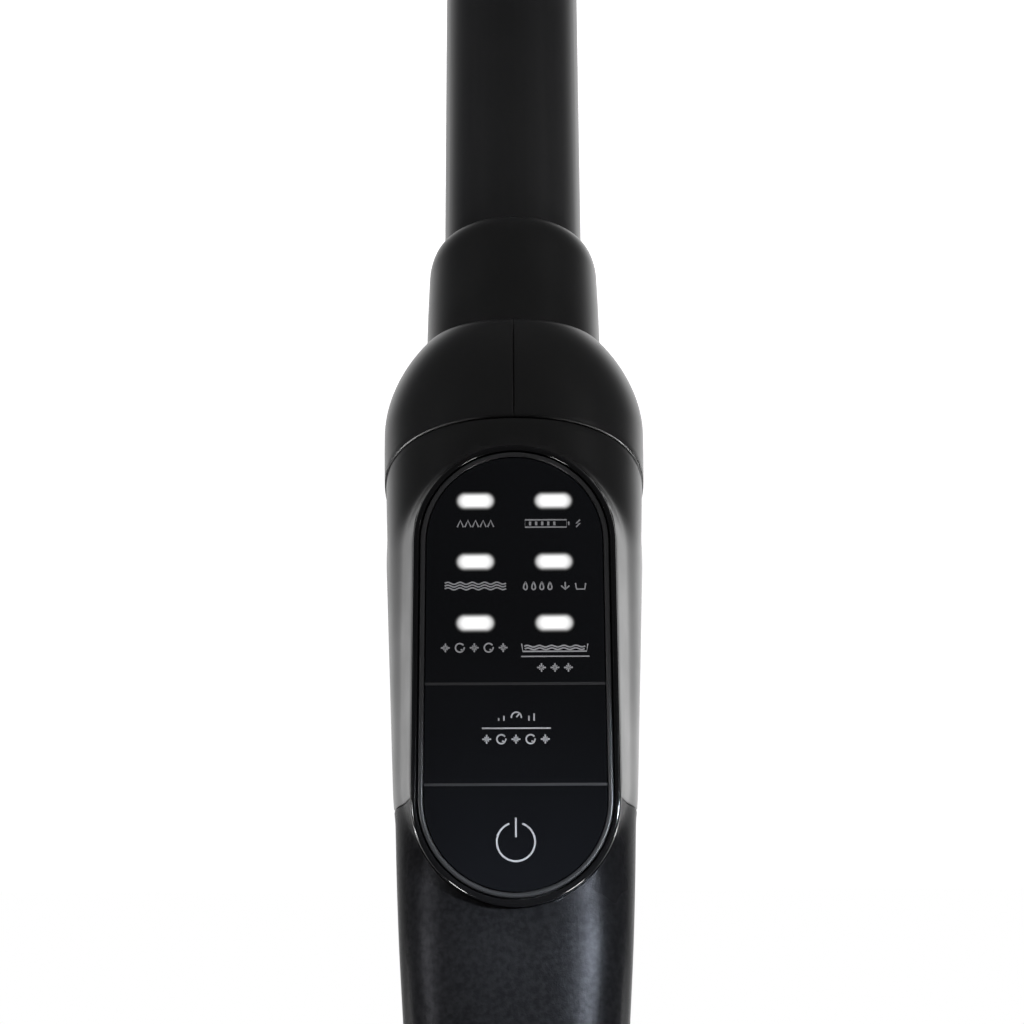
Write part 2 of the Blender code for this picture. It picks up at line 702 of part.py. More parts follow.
def make_dirty_tank():
    """The dirty water tank with its riser, lid, filter, float and latch."""
    low = (3.0 - POD_HALF_X, POD_FRONT_Y + 2.0, DIRTY_BOTTOM_Z)
    high = (POD_HALF_X - 3.0, DIRTY_REAR_Y, DIRTY_TOP_Z)
    tank = rounded_block("dirty_tank", low, high, 39.0, "clear_smoke", 6, edge=3.0, far_radius=8.0)
    cut(tank, rounded_block("tank_hollow", (low[0] + WALL, low[1] + WALL, low[2] + WALL + 2.0),
                            (high[0] - WALL, high[1] - WALL, high[2] + 10), 36.5, None, 6,
                            far_radius=5.5))
    cut(tank, disc("inlet", DIRTY_BOTTOM_Z - 5, DIRTY_BOTTOM_Z + 12, 10.0, (0.0, -52.0)))
    join(tank, pipe("riser", DIRTY_BOTTOM_Z + 2.0, DIRTY_TOP_Z - 34.0, 13.0, 10.0, (0.0, -52.0)))
    pivot_at(smooth(tank), (0.0, low[1], DIRTY_BOTTOM_Z))
    lid = rounded_block("dirty_tank_lid", (low[0], low[1], DIRTY_TOP_Z + GAP),
                        (high[0], high[1], DIRTY_LID_TOP_Z), 39.0, "inner_grey", 6, edge=3.0,
                        far_radius=8.0)
    well_z = DIRTY_TOP_Z + 4.0
    cut(lid, turned("filter_well", ((DIRTY_TOP_Z - 5.0, 0), (DIRTY_TOP_Z - 5.0, 22.0),
                                    (well_z, 22.0), (well_z, 31.0), (DIRTY_LID_TOP_Z + 5.0, 31.0),
                                    (DIRTY_LID_TOP_Z + 5.0, 0)), (0.0, -52.0)))
    latch_low = (-11.0, POD_FRONT_Y - 4.0, DIRTY_TOP_Z + 5.0)
    latch_high = (11.0, POD_FRONT_Y + 7.0, DIRTY_LID_TOP_Z - 5.0)
    cut(lid, box("latch_notch", (latch_low[0] - 0.5, latch_low[1], latch_low[2] - 3.5),
                 (latch_high[0] + 0.5, latch_high[1] + 0.5, latch_high[2] + 0.5)))
    smooth(lid)
    smooth(pipe("dirty_filter", DIRTY_TOP_Z + 4.0 + GAP, DIRTY_LID_TOP_Z - 1.0, 30.5, 11.0,
                (0.0, -52.0), "Z", "filter_white"))
    float_block = rounded_block("dirty_float", (20.0, -64.0, 330.0), (40.0, -40.0, 352.0), 4.0,
                                "filter_white")
    pivot_at(float_block, (30.0, -52.0, 341.0))
    latch = rounded_block("dirty_tank_latch", (latch_low[0], latch_low[1] + 1.0, latch_low[2]),
                          latch_high, 3.0, "inner_grey")
    pivot_at(smooth(latch), (0.0, latch_low[1], latch_high[2]))


def make_clean_tank():
    """The clean water tank on the user's side, with its cap, valve and latch."""
    low = (-CLEAN_HALF_X, CLEAN_FRONT_Y, CLEAN_BOTTOM_Z)
    high = (CLEAN_HALF_X, CLEAN_REAR_Y, CLEAN_TOP_Z)
    tank = rounded_block("clean_tank", low, high, 8.0, "clear_smoke", 6, edge=4.0,
                         far_radius=30.0)
    cut(tank, rounded_block("tank_hollow", (low[0] + WALL, low[1] + WALL, low[2] + WALL),
                            (high[0] - WALL, high[1] - WALL, high[2] - WALL), 5.5, None, 6,
                            far_radius=27.5))
    centre = (0.0, CLEAN_FILL_Y)
    cut(tank, disc("fill_hole", CLEAN_TOP_Z - 10, CLEAN_TOP_Z + 5, 16.0, centre))
    cut(tank, disc("valve_hole", CLEAN_BOTTOM_Z - 5, CLEAN_BOTTOM_Z + 8, 6.5, centre, sides=16))
    pivot_at(smooth(tank), low)
    cap = turned("clean_tank_cap", ((CLEAN_TOP_Z - 8.0, 0), (CLEAN_TOP_Z - 8.0, 15.0),
                                    (CLEAN_TOP_Z + GAP, 15.0), (CLEAN_TOP_Z + GAP, 20.0),
                                    (CLEAN_TOP_Z + 9.0, 20.0), (CLEAN_TOP_Z + 11.0, 18.0),
                                    (CLEAN_TOP_Z + 11.0, 0)), centre, "Z", "inner_grey")
    join(cap, box("cap_bar", (-15.0, CLEAN_FILL_Y - 3.0, CLEAN_TOP_Z + 8.0),
                  (15.0, CLEAN_FILL_Y + 3.0, CLEAN_TOP_Z + 18.0)))
    pivot_at(smooth(cap), (*centre, CLEAN_TOP_Z))
    valve = turned("clean_tank_valve", ((CLEAN_BOTTOM_Z - 7.0, 0), (CLEAN_BOTTOM_Z - 7.0, 5.0),
                                        (CLEAN_BOTTOM_Z + 6.0, 5.0), (CLEAN_BOTTOM_Z + 6.0, 0)),
                   centre, "Z", "inner_grey", 16)
    smooth(valve)
    latch = rounded_block("clean_tank_latch", (-14.0, BODY_REAR_Y + 0.6, CLEAN_TOP_Z + 2.0),
                          (14.0, BODY_REAR_Y + 12.0, CLEAN_TOP_Z + 24.0), 3.0, "inner_grey")
    pivot_at(smooth(latch), (0.0, BODY_REAR_Y + 6.0, CLEAN_TOP_Z + 24.0))


# ---------------------------------------------------------------- neck and head

def make_neck():
    """The yoke that reclines on the head, the hose through it, and its two pins."""
    arm_in = YOKE_HALF_X - YOKE_ARM
    outline = [(-YOKE_HALF_X, YOKE_TOP_Z - 8.0)] + [(-YOKE_HALF_X, PIVOT_Z - 14.0)]
    outline += [(-arm_in, PIVOT_Z - 14.0), (-arm_in, YOKE_TOP_Z - 26.0)]
    outline += [(-arm_in + 8.0, YOKE_TOP_Z - 18.0), (arm_in - 8.0, YOKE_TOP_Z - 18.0)]
    outline += [(arm_in, YOKE_TOP_Z - 26.0), (arm_in, PIVOT_Z - 14.0)]
    outline += [(YOKE_HALF_X, PIVOT_Z - 14.0), (YOKE_HALF_X, YOKE_TOP_Z - 8.0)]
    outline += [(YOKE_HALF_X - 10.0, YOKE_TOP_Z), (-YOKE_HALF_X + 10.0, YOKE_TOP_Z)]
    yoke = prism("neck_yoke", outline, PIVOT_Y - 20.0, PIVOT_Y + 20.0, "Y", "shell_black")
    side_view = arc((PIVOT_Y, PIVOT_Z), 14.0, 180, 360, 8)
    side_view += [(PIVOT_Y + 24.0, YOKE_TOP_Z + 5), (PIVOT_Y - 24.0, YOKE_TOP_Z + 5)]
    trim = prism("side_view", side_view, -60.0, 60.0, "X")
    combine(yoke, trim, "INTERSECT")
    cut(yoke, disc("hose_hole", PIVOT_Z, YOKE_TOP_Z + 5, HOSE_R + GAP + 0.2, (0.0, PIVOT_Y)))
    cut(yoke, disc("pin_hole", -70.0, 70.0, PIN_R + GAP, (PIVOT_Y, PIVOT_Z), "X"))
    pivot_at(smooth(yoke), (0.0, PIVOT_Y, PIVOT_Z))
    for name, side in (("pivot_pin_left", -1), ("pivot_pin_right", 1)):
        start, end = sorted((side * (arm_in + 1.0), side * (YOKE_HALF_X + 11.0)))
        smooth(disc(name, start, end, PIN_R, (PIVOT_Y, PIVOT_Z), "X", "screw_steel", 16))
    outer = [(PIVOT_Z + BALL_R * math.sin(math.radians(a)), BALL_R * math.cos(math.radians(a)))
             for a in range(-60, 45, 15)]
    bore = HOSE_R - 3.0
    outer = [(along, max(radius, bore + 1.0)) for along, radius in outer]
    low = outer[0][0]
    outer += [(PIVOT_Z + 16.0, HOSE_R)] + [(YOKE_TOP_Z + 22.0, HOSE_R)]
    profile = outer + [(YOKE_TOP_Z + 22.0, bore), (low, bore)]
    smooth(turned("neck_hose", profile, (0.0, PIVOT_Y), "Z", "hose_grey", 20))


def make_chassis():
    """The head's tray, open to the front where the roller lies between two cheeks."""
    back = 72.0
    outline = [(-126.0, back - 12.0)] + arc((-114.0, back - 12.0), 12.0, 180, 90, 3)[1:]
    outline += arc((114.0, back - 12.0), 12.0, 90, 0, 3) + [(126.0, BAY_REAR_Y), (132.0, -70.0)]
    outline += [(132.0, -114.0), (126.0, -122.0), (125.0, -122.0), (125.0, BAY_REAR_Y)]
    outline += [(ROLLER_LEFT_X - 3.0, BAY_REAR_Y), (ROLLER_LEFT_X - 3.0, -122.0)]
    outline += [(-132.0, -122.0), (-132.0, -20.0)]
    chassis = prism("head_chassis", outline, 7.0, 50.0, "Z", "inner_grey")
    cut(chassis, box("tray", (-96.0, BAY_REAR_Y + 3.5, 10.0), (96.0, back - 4.0, 60.0)))
    cut(chassis, box("suction_mouth", (-19.0, -65.0, 14.0), (19.0, -50.0, 30.0)))
    cut(chassis, box("drive_case", (-140.0, -116.0, 10.5), (-114.0, -8.0, 46.5)))
    for side in (-1, 1):
        low_x, high_x = sorted((side * (WHEEL_X - 12.0), side * (WHEEL_X + 12.0)))
        wheel_well = box("wheel_well", (low_x, WHEEL_Y - 27.0, -1.0), (high_x, 90.0, 60.0))
        cut(chassis, wheel_well)
        cut(chassis, disc("axle_hole", low_x - 8, high_x + 8, 3.3, (WHEEL_Y, WHEEL_R), "X",
                          sides=12))
    for side in (-1, 1):
        low_x, high_x = sorted((side * (YOKE_HALF_X + 0.8), side * (YOKE_HALF_X + 12.0)))
        ear = arc((PIVOT_Y, PIVOT_Z), 14.0, 0, 180, 8)
        ear += [(PIVOT_Y - 22.0, 9.0), (PIVOT_Y + 22.0, 9.0)]
        join(chassis, prism("ear", ear, low_x, high_x, "X"))
    cut(chassis, disc("pin_hole", -80.0, 80.0, PIN_R + GAP, (PIVOT_Y, PIVOT_Z), "X"))
    cut(chassis, disc("roller_hole", -115.0, -105.0, 9.0, (ROLLER_Y, ROLLER_R), "X"))
    cut(chassis, disc("motor_hole", -116.0, -90.0, 5.0, (MOTOR_Y, MOTOR_Z), "X"))
    cut(chassis, disc("cap_hole", 120.0, 140.0, 17.0, (ROLLER_Y, ROLLER_R), "X"))
    smooth(chassis)


def make_head_covers():
    """The top cover, the roller's window and the bumper on its front edge."""
    low = (-131.0, -73.0, 50.0 + GAP)
    cover = rounded_block("head_top_cover", low, (131.0, 74.0, 66.0), 16.0, "shell_black", 4,
                          edge=4.0)
    cut(cover, rounded_block("cover_hollow", (-127.0, -70.0, 45.0), (127.0, 70.0, 63.0), 12.0))
    cut(cover, box("roller_clearance", (-140.0, -80.0, 40.0), (140.0, -69.0, 55.5)))
    cut(cover, box("neck_slot", (-59.0, PIVOT_Y - 24.0, 40.0), (59.0, 90.0, 80.0)))
    smooth(cover)
    inner = COVER_R - 2.5
    first, last = 62.0, 200.0
    outline = arc((ROLLER_Y - 3.0, ROLLER_R + 2.0), COVER_R, first, last, 10)
    outline += arc((ROLLER_Y - 3.0, ROLLER_R + 2.0), inner, last, first, 10)
    window = prism("roller_cover", outline, -111.0 + GAP, 125.0 - GAP, "X", "clear_smoke")
    pivot_at(smooth(window), (0.0, ROLLER_Y, ROLLER_R))
    bumper = [(HEAD_FRONT_Y, 12.0), (HEAD_FRONT_Y, 17.0), (HEAD_FRONT_Y + 1.0, 18.0),
              (HEAD_FRONT_Y + 4.0, 18.0), (HEAD_FRONT_Y + 6.0, 14.0), (HEAD_FRONT_Y + 5.0, 11.0),
              (HEAD_FRONT_Y + 1.0, 11.0)]
    prism("front_bumper", bumper, -111.0 + GAP, 125.0 - GAP, "X", "seal_rubber")


def make_roller():
    """The roller, its drive belt and pulleys, and the motor that turns it."""
    axis = (ROLLER_Y, ROLLER_R)
    core = turned("brush_roller_core", ((ROLLER_LEFT_X - 9.5, 0), (ROLLER_LEFT_X - 9.5, 5.0),
                                        (ROLLER_LEFT_X - 2.0, 5.0), (ROLLER_LEFT_X - 2.0, 8.0),
                                        (ROLLER_LEFT_X, 8.0), (ROLLER_LEFT_X, CORE_R),
                                        (ROLLER_RIGHT_X, CORE_R), (ROLLER_RIGHT_X, 6.0),
                                        (ROLLER_RIGHT_X + 3.0, 6.0), (ROLLER_RIGHT_X + 3.0, 0)),
                  axis, "X", "inner_grey")
    pivot_at(smooth(core), (0.0, *axis))
    sleeve = pipe("brush_roller_sleeve", ROLLER_LEFT_X + 2.0, ROLLER_RIGHT_X - 2.0, ROLLER_R,
                  CORE_R + GAP, axis, "X", "roller_fabric", 32)
    pivot_at(smooth(sleeve), (0.0, *axis))
    cap_left = ROLLER_RIGHT_X + 3.0 + GAP
    cap = turned("roller_end_cap", ((cap_left, 0), (cap_left, 16.5), (132.0 + GAP, 16.5),
                                    (132.0 + GAP, 24.0), (134.0, 24.0), (HEAD_HALF_X, 22.0),
                                    (HEAD_HALF_X, 0)), axis, "X", "shell_black")
    smooth(cap)
    belt_x = (-128.0, -120.0)
    pulley = turned("roller_pulley", ((-129.0, 0), (-129.0, ROLLER_PULLEY_R),
                                      (-118.5, ROLLER_PULLEY_R), (-118.5, 0)),
                    axis, "X", "inner_grey")
    pivot_at(smooth(pulley), (0.0, *axis))
    motor_axis = (MOTOR_Y, MOTOR_Z)
    motor = turned("brush_motor", ((-95.0, 0), (-95.0, 17.0), (-30.0, 17.0), (-27.0, 12.0),
                                   (-27.0, 0)), motor_axis, "X", "motor_metal")
    smooth(motor)
    small = turned("motor_pulley", ((-129.0, 0), (-129.0, MOTOR_PULLEY_R),
                                    (-118.5, MOTOR_PULLEY_R), (-118.5, 4.0), (-96.0, 4.0),
                                    (-96.0, 0)), motor_axis, "X", "inner_grey", 16)
    pivot_at(smooth(small), (0.0, *motor_axis))
    make_belt(axis, motor_axis, belt_x)
    case = [(-115.4, 11.0), (-8.6, 11.0), (-8.6, 46.0), (-115.4, 46.0)]
    cover = prism("belt_cover", case, -HEAD_HALF_X, -132.0 - GAP, "X", "shell_black")
    bevel(cover, 1.0, 2)
    smooth(cover)


def make_belt(first, second, belt_x):
    """A flat belt round two pulleys: two arcs joined by tangents."""
    loops = []
    along, up = first[0] - second[0], first[1] - second[1]
    apart, lean = math.hypot(along, up), math.degrees(math.atan2(up, along))
    for extra in (1.9, 0.5):
        wide, narrow = ROLLER_PULLEY_R + extra, MOTOR_PULLEY_R + extra
        open_angle = math.degrees(math.acos((wide - narrow) / apart))
        loop = arc(first, wide, lean + 180 + open_angle, lean + 540 - open_angle, 12)
        loop += arc(second, narrow, lean + 180 - open_angle, lean + 180 + open_angle, 8)
        loops.append(loop)
    belt = prism("drive_belt", loops[0], *belt_x, "X", "seal_rubber")
    cut(belt, prism("belt_inside", loops[1], belt_x[0] - 2, belt_x[1] + 2, "X"))
    smooth(belt)


def make_head_fittings():
    """The duct, squeegee, spray bar, charging block and wheels."""
    duct = rounded_block("head_duct", (-22.0, BAY_REAR_Y + 3.8, 10.3), (22.0, PIVOT_Y + 24.0, 48.0), 5.0,
                         "inner_grey")
    join(duct, disc("ball_cup", 40.0, PIVOT_Z - 9.0, BALL_R + 4.0, (0.0, PIVOT_Y)))
    cut(duct, box("duct_mouth", (-19.0, -70.0, 14.0), (19.0, PIVOT_Y, 30.0)))
    cut(duct, turned("ball_seat", ((14.0, 0), (14.0, 12.0), (56.0, 12.0), (56.0, BALL_R + 0.5),
                                   (90.0, BALL_R + 0.5), (90.0, 0)), (0.0, PIVOT_Y)))
    smooth(duct)
    box("squeegee_strip", (ROLLER_LEFT_X, -61.6, 1.0), (ROLLER_RIGHT_X - 2, -58.6, 6.6),
        "seal_rubber")
    smooth(disc("spray_bar", -90.0, 90.0, 3.0, (-62.0, 57.0), "X", "inner_grey", 12))
    box("charging_contact_block", (-30.0, 72.0 + GAP, 14.0), (30.0, 80.0, 34.0), "inner_grey")
    for name, side in (("rear_wheel_left", -1), ("rear_wheel_right", 1)):
        centre = side * WHEEL_X
        start, end = centre - WHEEL_HALF, centre + WHEEL_HALF
        wheel = turned(name, ((start, 3.3), (start, WHEEL_R - 2.0), (start + 2.0, WHEEL_R),
                              (end - 2.0, WHEEL_R), (end, WHEEL_R - 2.0), (end, 3.3)),
                       (WHEEL_Y, WHEEL_R), "X", "seal_rubber", 32)
        pivot_at(smooth(wheel), (centre, WHEEL_Y, WHEEL_R))
    axle_end = WHEEL_X + 16.0
    smooth(disc("wheel_axle", -axle_end, axle_end, 3.0, (WHEEL_Y, WHEEL_R), "X", "screw_steel", 12))


def main():
    """Builds the machine."""
    clear_scene()
    make_materials()
    make_handle()
    make_spine()
    make_motor_pod()
    make_top_cover()
    make_cradle()
    make_dirty_tank()
    make_clean_tank()
    make_neck()
    make_chassis()
    make_head_covers()
    make_roller()
    make_head_fittings()


main()
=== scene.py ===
"""Looks for the wet dry floor scrubber: a fine handle and panel, finished casings, tanks and head.

Handle lengths are millimetres in the handle's own measures: x across, s down the pole, h towards
the user.  Everything else is metres in the frame's own axes.
"""
import math

import bmesh
import bpy
from mathutils import Matrix, Vector


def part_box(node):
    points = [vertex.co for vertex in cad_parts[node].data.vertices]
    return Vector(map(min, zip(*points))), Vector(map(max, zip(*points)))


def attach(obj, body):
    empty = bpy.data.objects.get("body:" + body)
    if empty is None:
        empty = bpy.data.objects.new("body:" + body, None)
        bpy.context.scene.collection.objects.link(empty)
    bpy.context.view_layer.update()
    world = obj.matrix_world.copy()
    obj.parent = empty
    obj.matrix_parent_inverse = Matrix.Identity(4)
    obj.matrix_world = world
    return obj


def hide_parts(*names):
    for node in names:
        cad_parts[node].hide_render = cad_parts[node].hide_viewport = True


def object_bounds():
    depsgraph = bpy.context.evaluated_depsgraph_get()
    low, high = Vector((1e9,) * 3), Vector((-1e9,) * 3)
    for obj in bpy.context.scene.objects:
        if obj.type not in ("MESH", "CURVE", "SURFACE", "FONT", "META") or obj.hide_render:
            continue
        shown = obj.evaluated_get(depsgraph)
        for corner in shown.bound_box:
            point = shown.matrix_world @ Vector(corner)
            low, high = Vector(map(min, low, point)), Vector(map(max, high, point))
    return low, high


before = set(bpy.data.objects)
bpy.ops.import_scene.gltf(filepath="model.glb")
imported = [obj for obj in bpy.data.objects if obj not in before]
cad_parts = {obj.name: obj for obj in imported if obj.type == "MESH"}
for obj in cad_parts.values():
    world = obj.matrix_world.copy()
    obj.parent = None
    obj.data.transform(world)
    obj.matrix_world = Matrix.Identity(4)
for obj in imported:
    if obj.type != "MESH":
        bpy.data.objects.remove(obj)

CAD_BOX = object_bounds()
MM = 0.001
WHITE = (1.0, 1.0, 1.0, 1.0)
SIDES = ((-1, "left"), (1, "right"))

# ---------------------------------------------------------------- places read from the frame


def node_box(name):
    """A CAD node's lowest and highest corners."""
    low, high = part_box(name)
    return Vector(low), Vector(high)


def millimetre_box(name):
    """A CAD node's lowest and highest corners in millimetres."""
    return [[value / MM for value in corner] for corner in node_box(name)]


TUBE_LOW, TUBE_HIGH = node_box("pole_tube")
BEZEL_LOW, BEZEL_HIGH = node_box("panel_bezel")
COLLAR_LOW, COLLAR_HIGH = node_box("pole_collar")
POLE_Y = (TUBE_LOW.y + TUBE_HIGH.y) / 2 / MM
PANEL_H = BEZEL_HIGH.y / MM - POLE_Y
CAD_BEZEL_TOP_S = 7.2
HANDLE_Z = BEZEL_LOW.z / MM + CAD_BEZEL_TOP_S
PANEL_DROP = 0.8
PANEL_STRETCH = 0.1
PANEL_TOP_S = CAD_BEZEL_TOP_S - PANEL_DROP
PANEL_BOTTOM_S = HANDLE_Z - BEZEL_HIGH.z / MM - PANEL_STRETCH
BEZEL_HALF = BEZEL_HIGH.x / MM
CAP_END_S = HANDLE_Z - node_box("grip_end_cap")[1].z / MM
GRIP_END_S = HANDLE_Z - node_box("grip_upper_shell")[1].z / MM

# ---------------------------------------------------------------- handle shape

SECTION_H = 2.0
NOSE_S = 16.0
NOSE_LENGTH = 27.2
NOSE_WIDTH_POWER = 1.88
NOSE_HEIGHT_POWER = 3.0
NOSE_MOUTH_S = 35.3
UPPER_SEAM_S = 2.8
UPPER_SEAM_SLANT = 0.4
LOWER_SEAM_S = -63.6
SEAM_GAP = 0.08
SEAM_ROUND = 0.4
SEAM_STEP = 0.35
WALL = 1.6
CAP_ROUND = 9.0
BEND_START_S = -90.0
BEND_RATE = 0.0016
PEDESTAL_HALF = BEZEL_HALF + 0.35
PEDESTAL_H = PANEL_H - 0.35
PEDESTAL_FOOT_H = 3.0
PEDESTAL_FLARE = 2.2
PEDESTAL_EDGE = 0.5
END_TUCK = 4.0
FILLET = 1.2
# s, half width, user side, pole side, squareness
BASE_STATIONS = (
    (16.0, 27.6, 25.0, -21.0, 2.25),
    (2.0, 27.35, 24.7, -21.0, 2.3),
    (-20.0, 26.45, 23.0, -20.5, 2.35),
    (-40.0, 25.6, 21.6, -19.5, 2.35),
    (-60.0, 24.75, 21.0, -18.5, 2.3),
    (-79.0, 23.8, 21.6, -17.6, 3.6),
    (-93.0, 22.95, 22.3, -17.0, 4.2),
    (-108.0, 21.9, 21.9, -16.6, 4.0),
    (-130.0, 20.4, 20.6, -16.4, 3.2),
    (-155.0, 19.8, 20.2, -16.6, 2.5),
    (-183.0, 20.3, 20.5, -17.0, 2.3),
)


def eased(stations, s):
    """Smooth values between stations, without overshoot."""
    if s >= stations[0][0]:
        return stations[0][1:]
    if s <= stations[-1][0]:
        return stations[-1][1:]
    index = 0
    while s < stations[index + 1][0]:
        index += 1
    before, after = stations[index], stations[index + 1]
    step = after[0] - before[0]
    t = (s - before[0]) / step
    result = []
    for column in range(1, len(before)):
        slopes = []
        for at in (index, index + 1):
            if at in (0, len(stations) - 1):
                slopes.append(0.0)
                continue
            left = ((stations[at][column] - stations[at - 1][column])
                    / (stations[at][0] - stations[at - 1][0]))
            right = ((stations[at + 1][column] - stations[at][column])
                     / (stations[at + 1][0] - stations[at][0]))
            slopes.append(2 * left * right / (left + right) if left * right > 0 else 0.0)
        a, b = before[column], after[column]
        value = ((2 * t ** 3 - 3 * t ** 2 + 1) * a + (t ** 3 - 2 * t ** 2 + t) * step * slopes[0]
                 + (3 * t ** 2 - 2 * t ** 3) * b + (t ** 3 - t ** 2) * step * slopes[1])
        result.append(value)
    return tuple(result)


def base_section(s):
    """Half width, user side, pole side and squareness of the housing without its pedestal."""
    if s < NOSE_S:
        return eased(BASE_STATIONS, s)
    away = min(0.999, (s - NOSE_S) / NOSE_LENGTH)
    width = (1 - away ** NOSE_WIDTH_POWER) ** (1 / NOSE_WIDTH_POWER)
    height = (1 - away ** NOSE_HEIGHT_POWER) ** (1 / NOSE_HEIGHT_POWER)
    _, half, top, bottom, square = BASE_STATIONS[0]
    return half * width, SECTION_H + (top - SECTION_H) * height, bottom + 0.8 * (1 - height), square


def pedestal_radius(s, half, cosine, sine):
    """How far the panel's pedestal reaches from the section's centre, in one direction."""
    if sine <= 0.02:
        return 0.0
    upper, lower = PANEL_TOP_S - BEZEL_HALF, PANEL_BOTTOM_S + BEZEL_HALF + END_TUCK
    beyond = max(0.0, s - upper, lower - s)
    rise = PEDESTAL_H - SECTION_H
    steep = (PEDESTAL_H - PEDESTAL_FOOT_H) / max(PEDESTAL_FLARE, half - PEDESTAL_HALF)
    reach = rise + steep * PEDESTAL_HALF
    if steep * beyond >= reach:
        return 0.0
    a = (steep * cosine) ** 2 - sine ** 2
    b = 2 * reach * sine
    c = (steep * beyond) ** 2 - reach ** 2
    if abs(a) < 1e-9:
        radius = -c / b
    else:
        root = math.sqrt(max(0.0, b * b - 4 * a * c))
        choices = [(-b + root) / (2 * a), (-b - root) / (2 * a)]
        choices = [r for r in choices if r > 0 and r * sine <= reach]
        if not choices:
            return 0.0
        radius = min(choices)
    flat = rise / sine
    if radius > flat + PEDESTAL_EDGE:
        return flat
    blend = max(0.0, PEDESTAL_EDGE - abs(radius - flat)) ** 2 / (4 * PEDESTAL_EDGE)
    return min(radius, flat) - blend


def handle_bend(s):
    """How far the grip has curved towards the user."""
    return BEND_RATE * max(0.0, BEND_START_S - s) ** 2


def surface(s, slant, angle, inset):
    """(x, s, h) of the housing's surface on a section plane that leans by slant."""
    cosine, sine = math.cos(angle), math.sin(angle)
    height, at = 0.0, s
    for _ in range(7):
        at = s + slant * height
        half, top, bottom, square = base_section(at)
        tall = (top if sine >= 0 else 2 * SECTION_H - bottom) - SECTION_H
        radius = (abs(cosine / half) ** square + abs(sine / tall) ** square) ** (-1 / square)
        raised = pedestal_radius(at, half, cosine, sine)
        blend = max(0.0, FILLET - abs(radius - raised)) ** 2 / (4 * FILLET)
        radius = max(radius, raised) + (blend if raised else 0.0)
        height = SECTION_H + (radius - inset) * sine
    return (radius - inset) * cosine, at, height + handle_bend(at)


def place(x, s, h):
    """The handle's measures in the frame's metres."""
    return Vector((x, POLE_Y + h, HANDLE_Z - s)) * MM


# ---------------------------------------------------------------- meshes

def new_object(name, data):
    """A new object in the scene."""
    item = bpy.data.objects.new(name, data)
    bpy.context.scene.collection.objects.link(item)
    return item


def solid_mesh(name, points, faces):
    """A mesh whose faces point out."""
    mesh = bpy.data.meshes.new(name)
    mesh.from_pydata([tuple(point) for point in points], [], faces)
    mesh.validate()
    work = bmesh.new()
    work.from_mesh(mesh)
    bmesh.ops.recalc_face_normals(work, faces=work.faces)
    work.to_mesh(mesh)
    work.free()
    return mesh


def add_mesh(name, points, faces, body, finish, replaced=(), sharp=30.0):
    """A new piece that rides on a body and stands for CAD nodes."""
    piece = new_object(name, solid_mesh(name, points, faces))
    dress(piece, body, finish, replaced, sharp)
    return piece


def dress(piece, body, finish, replaced=(), sharp=30.0):
    """Gives a piece its finish, its body and the nodes it stands for."""
    piece.data.materials.clear()
    piece.data.materials.append(finish)
    if sharp:
        piece.data.shade_smooth()
        piece.data.set_sharp_from_angle(angle=math.radians(sharp))
    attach(piece, body)
    if replaced:
        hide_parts(*replaced)


def loft_faces(rows, columns, closed=True, caps=True):
    """Faces of a grid of rows of points, with flat ends if asked."""
    faces = []
    for row in range(rows - 1):
        for column in range(columns if closed else columns - 1):
            after = (column + 1) % columns
            faces.append((row * columns + column, row * columns + after,
                          (row + 1) * columns + after, (row + 1) * columns + column))
    if caps:
        faces.append(tuple(range(columns)))
        faces.append(tuple(range((rows - 1) * columns, rows * columns)))
    return faces


def ring_faces(rows, columns):
    """Faces of a grid that closes on itself both ways."""
    faces = []
    for row in range(rows):
        low, high = row * columns, ((row + 1) % rows) * columns
        for column in range(columns):
            after = (column + 1) % columns
            faces.append((low + column, low + after, high + after, high + column))
    return faces


def seam_stations(first, last, count, first_slant, last_slant):
    """(s, slant, inset) rings between two seams, with a small rounding at each end."""
    steps = [SEAM_ROUND * (1 - math.cos(math.radians(30 * turn))) for turn in range(4)]
    ends = [(along, along / abs(last - first)) for along in steps]
    sign = -1.0 if last < first else 1.0
    start, stop = first + sign * steps[-1], last - sign * steps[-1]
    rings = [(first + sign * along, share, rounding(along)) for along, share in ends]
    rings += [(start + (stop - start) * step / count, step / count, 0.0) for step in range(1, count)]
    rings += [(last - sign * along, 1 - share, rounding(along)) for along, share in reversed(ends)]
    return [(s, first_slant + (last_slant - first_slant) * share, inset) for s, share, inset in rings]


def edge_angles(first, last, count, reach=24.0):
    """Angles of a half shell, with extra ones and an inset at the parting edges."""
    edges = (0.0, 0.06, 0.15, SEAM_ROUND)
    angles = [(first + along / reach, along) for along in edges]
    angles += [(first + (last - first) * step / count, SEAM_ROUND) for step in range(1, count)]
    return angles + [(last - along / reach, along) for along in reversed(edges)]


def rounding(along):
    """Inset of a rounded edge at a distance from the edge."""
    return SEAM_ROUND - math.sqrt(max(0.0, SEAM_ROUND ** 2 - (SEAM_ROUND - along) ** 2))


def shell(name, stations, angles, body, finish, replaced, hole=0.0, step=0.0):
    """A thin shell through seam stations, between two parting edges."""
    points = []
    for s, slant, inset in stations:
        outer, inner = [], []
        for angle, along in angles:
            outer.append(surface(s, slant, angle, step + inset + rounding(along)))
            x, at, h = surface(s, slant, angle, step + WALL)
            away = math.hypot(x, h)
            if away < hole:
                x, h = x * hole / away, h * hole / away
            inner.append((x, at, h))
        points += [place(*point) for point in outer + inner[::-1]]
    faces = loft_faces(len(stations), 2 * len(angles))
    return add_mesh(name, points, faces, body, finish, replaced)


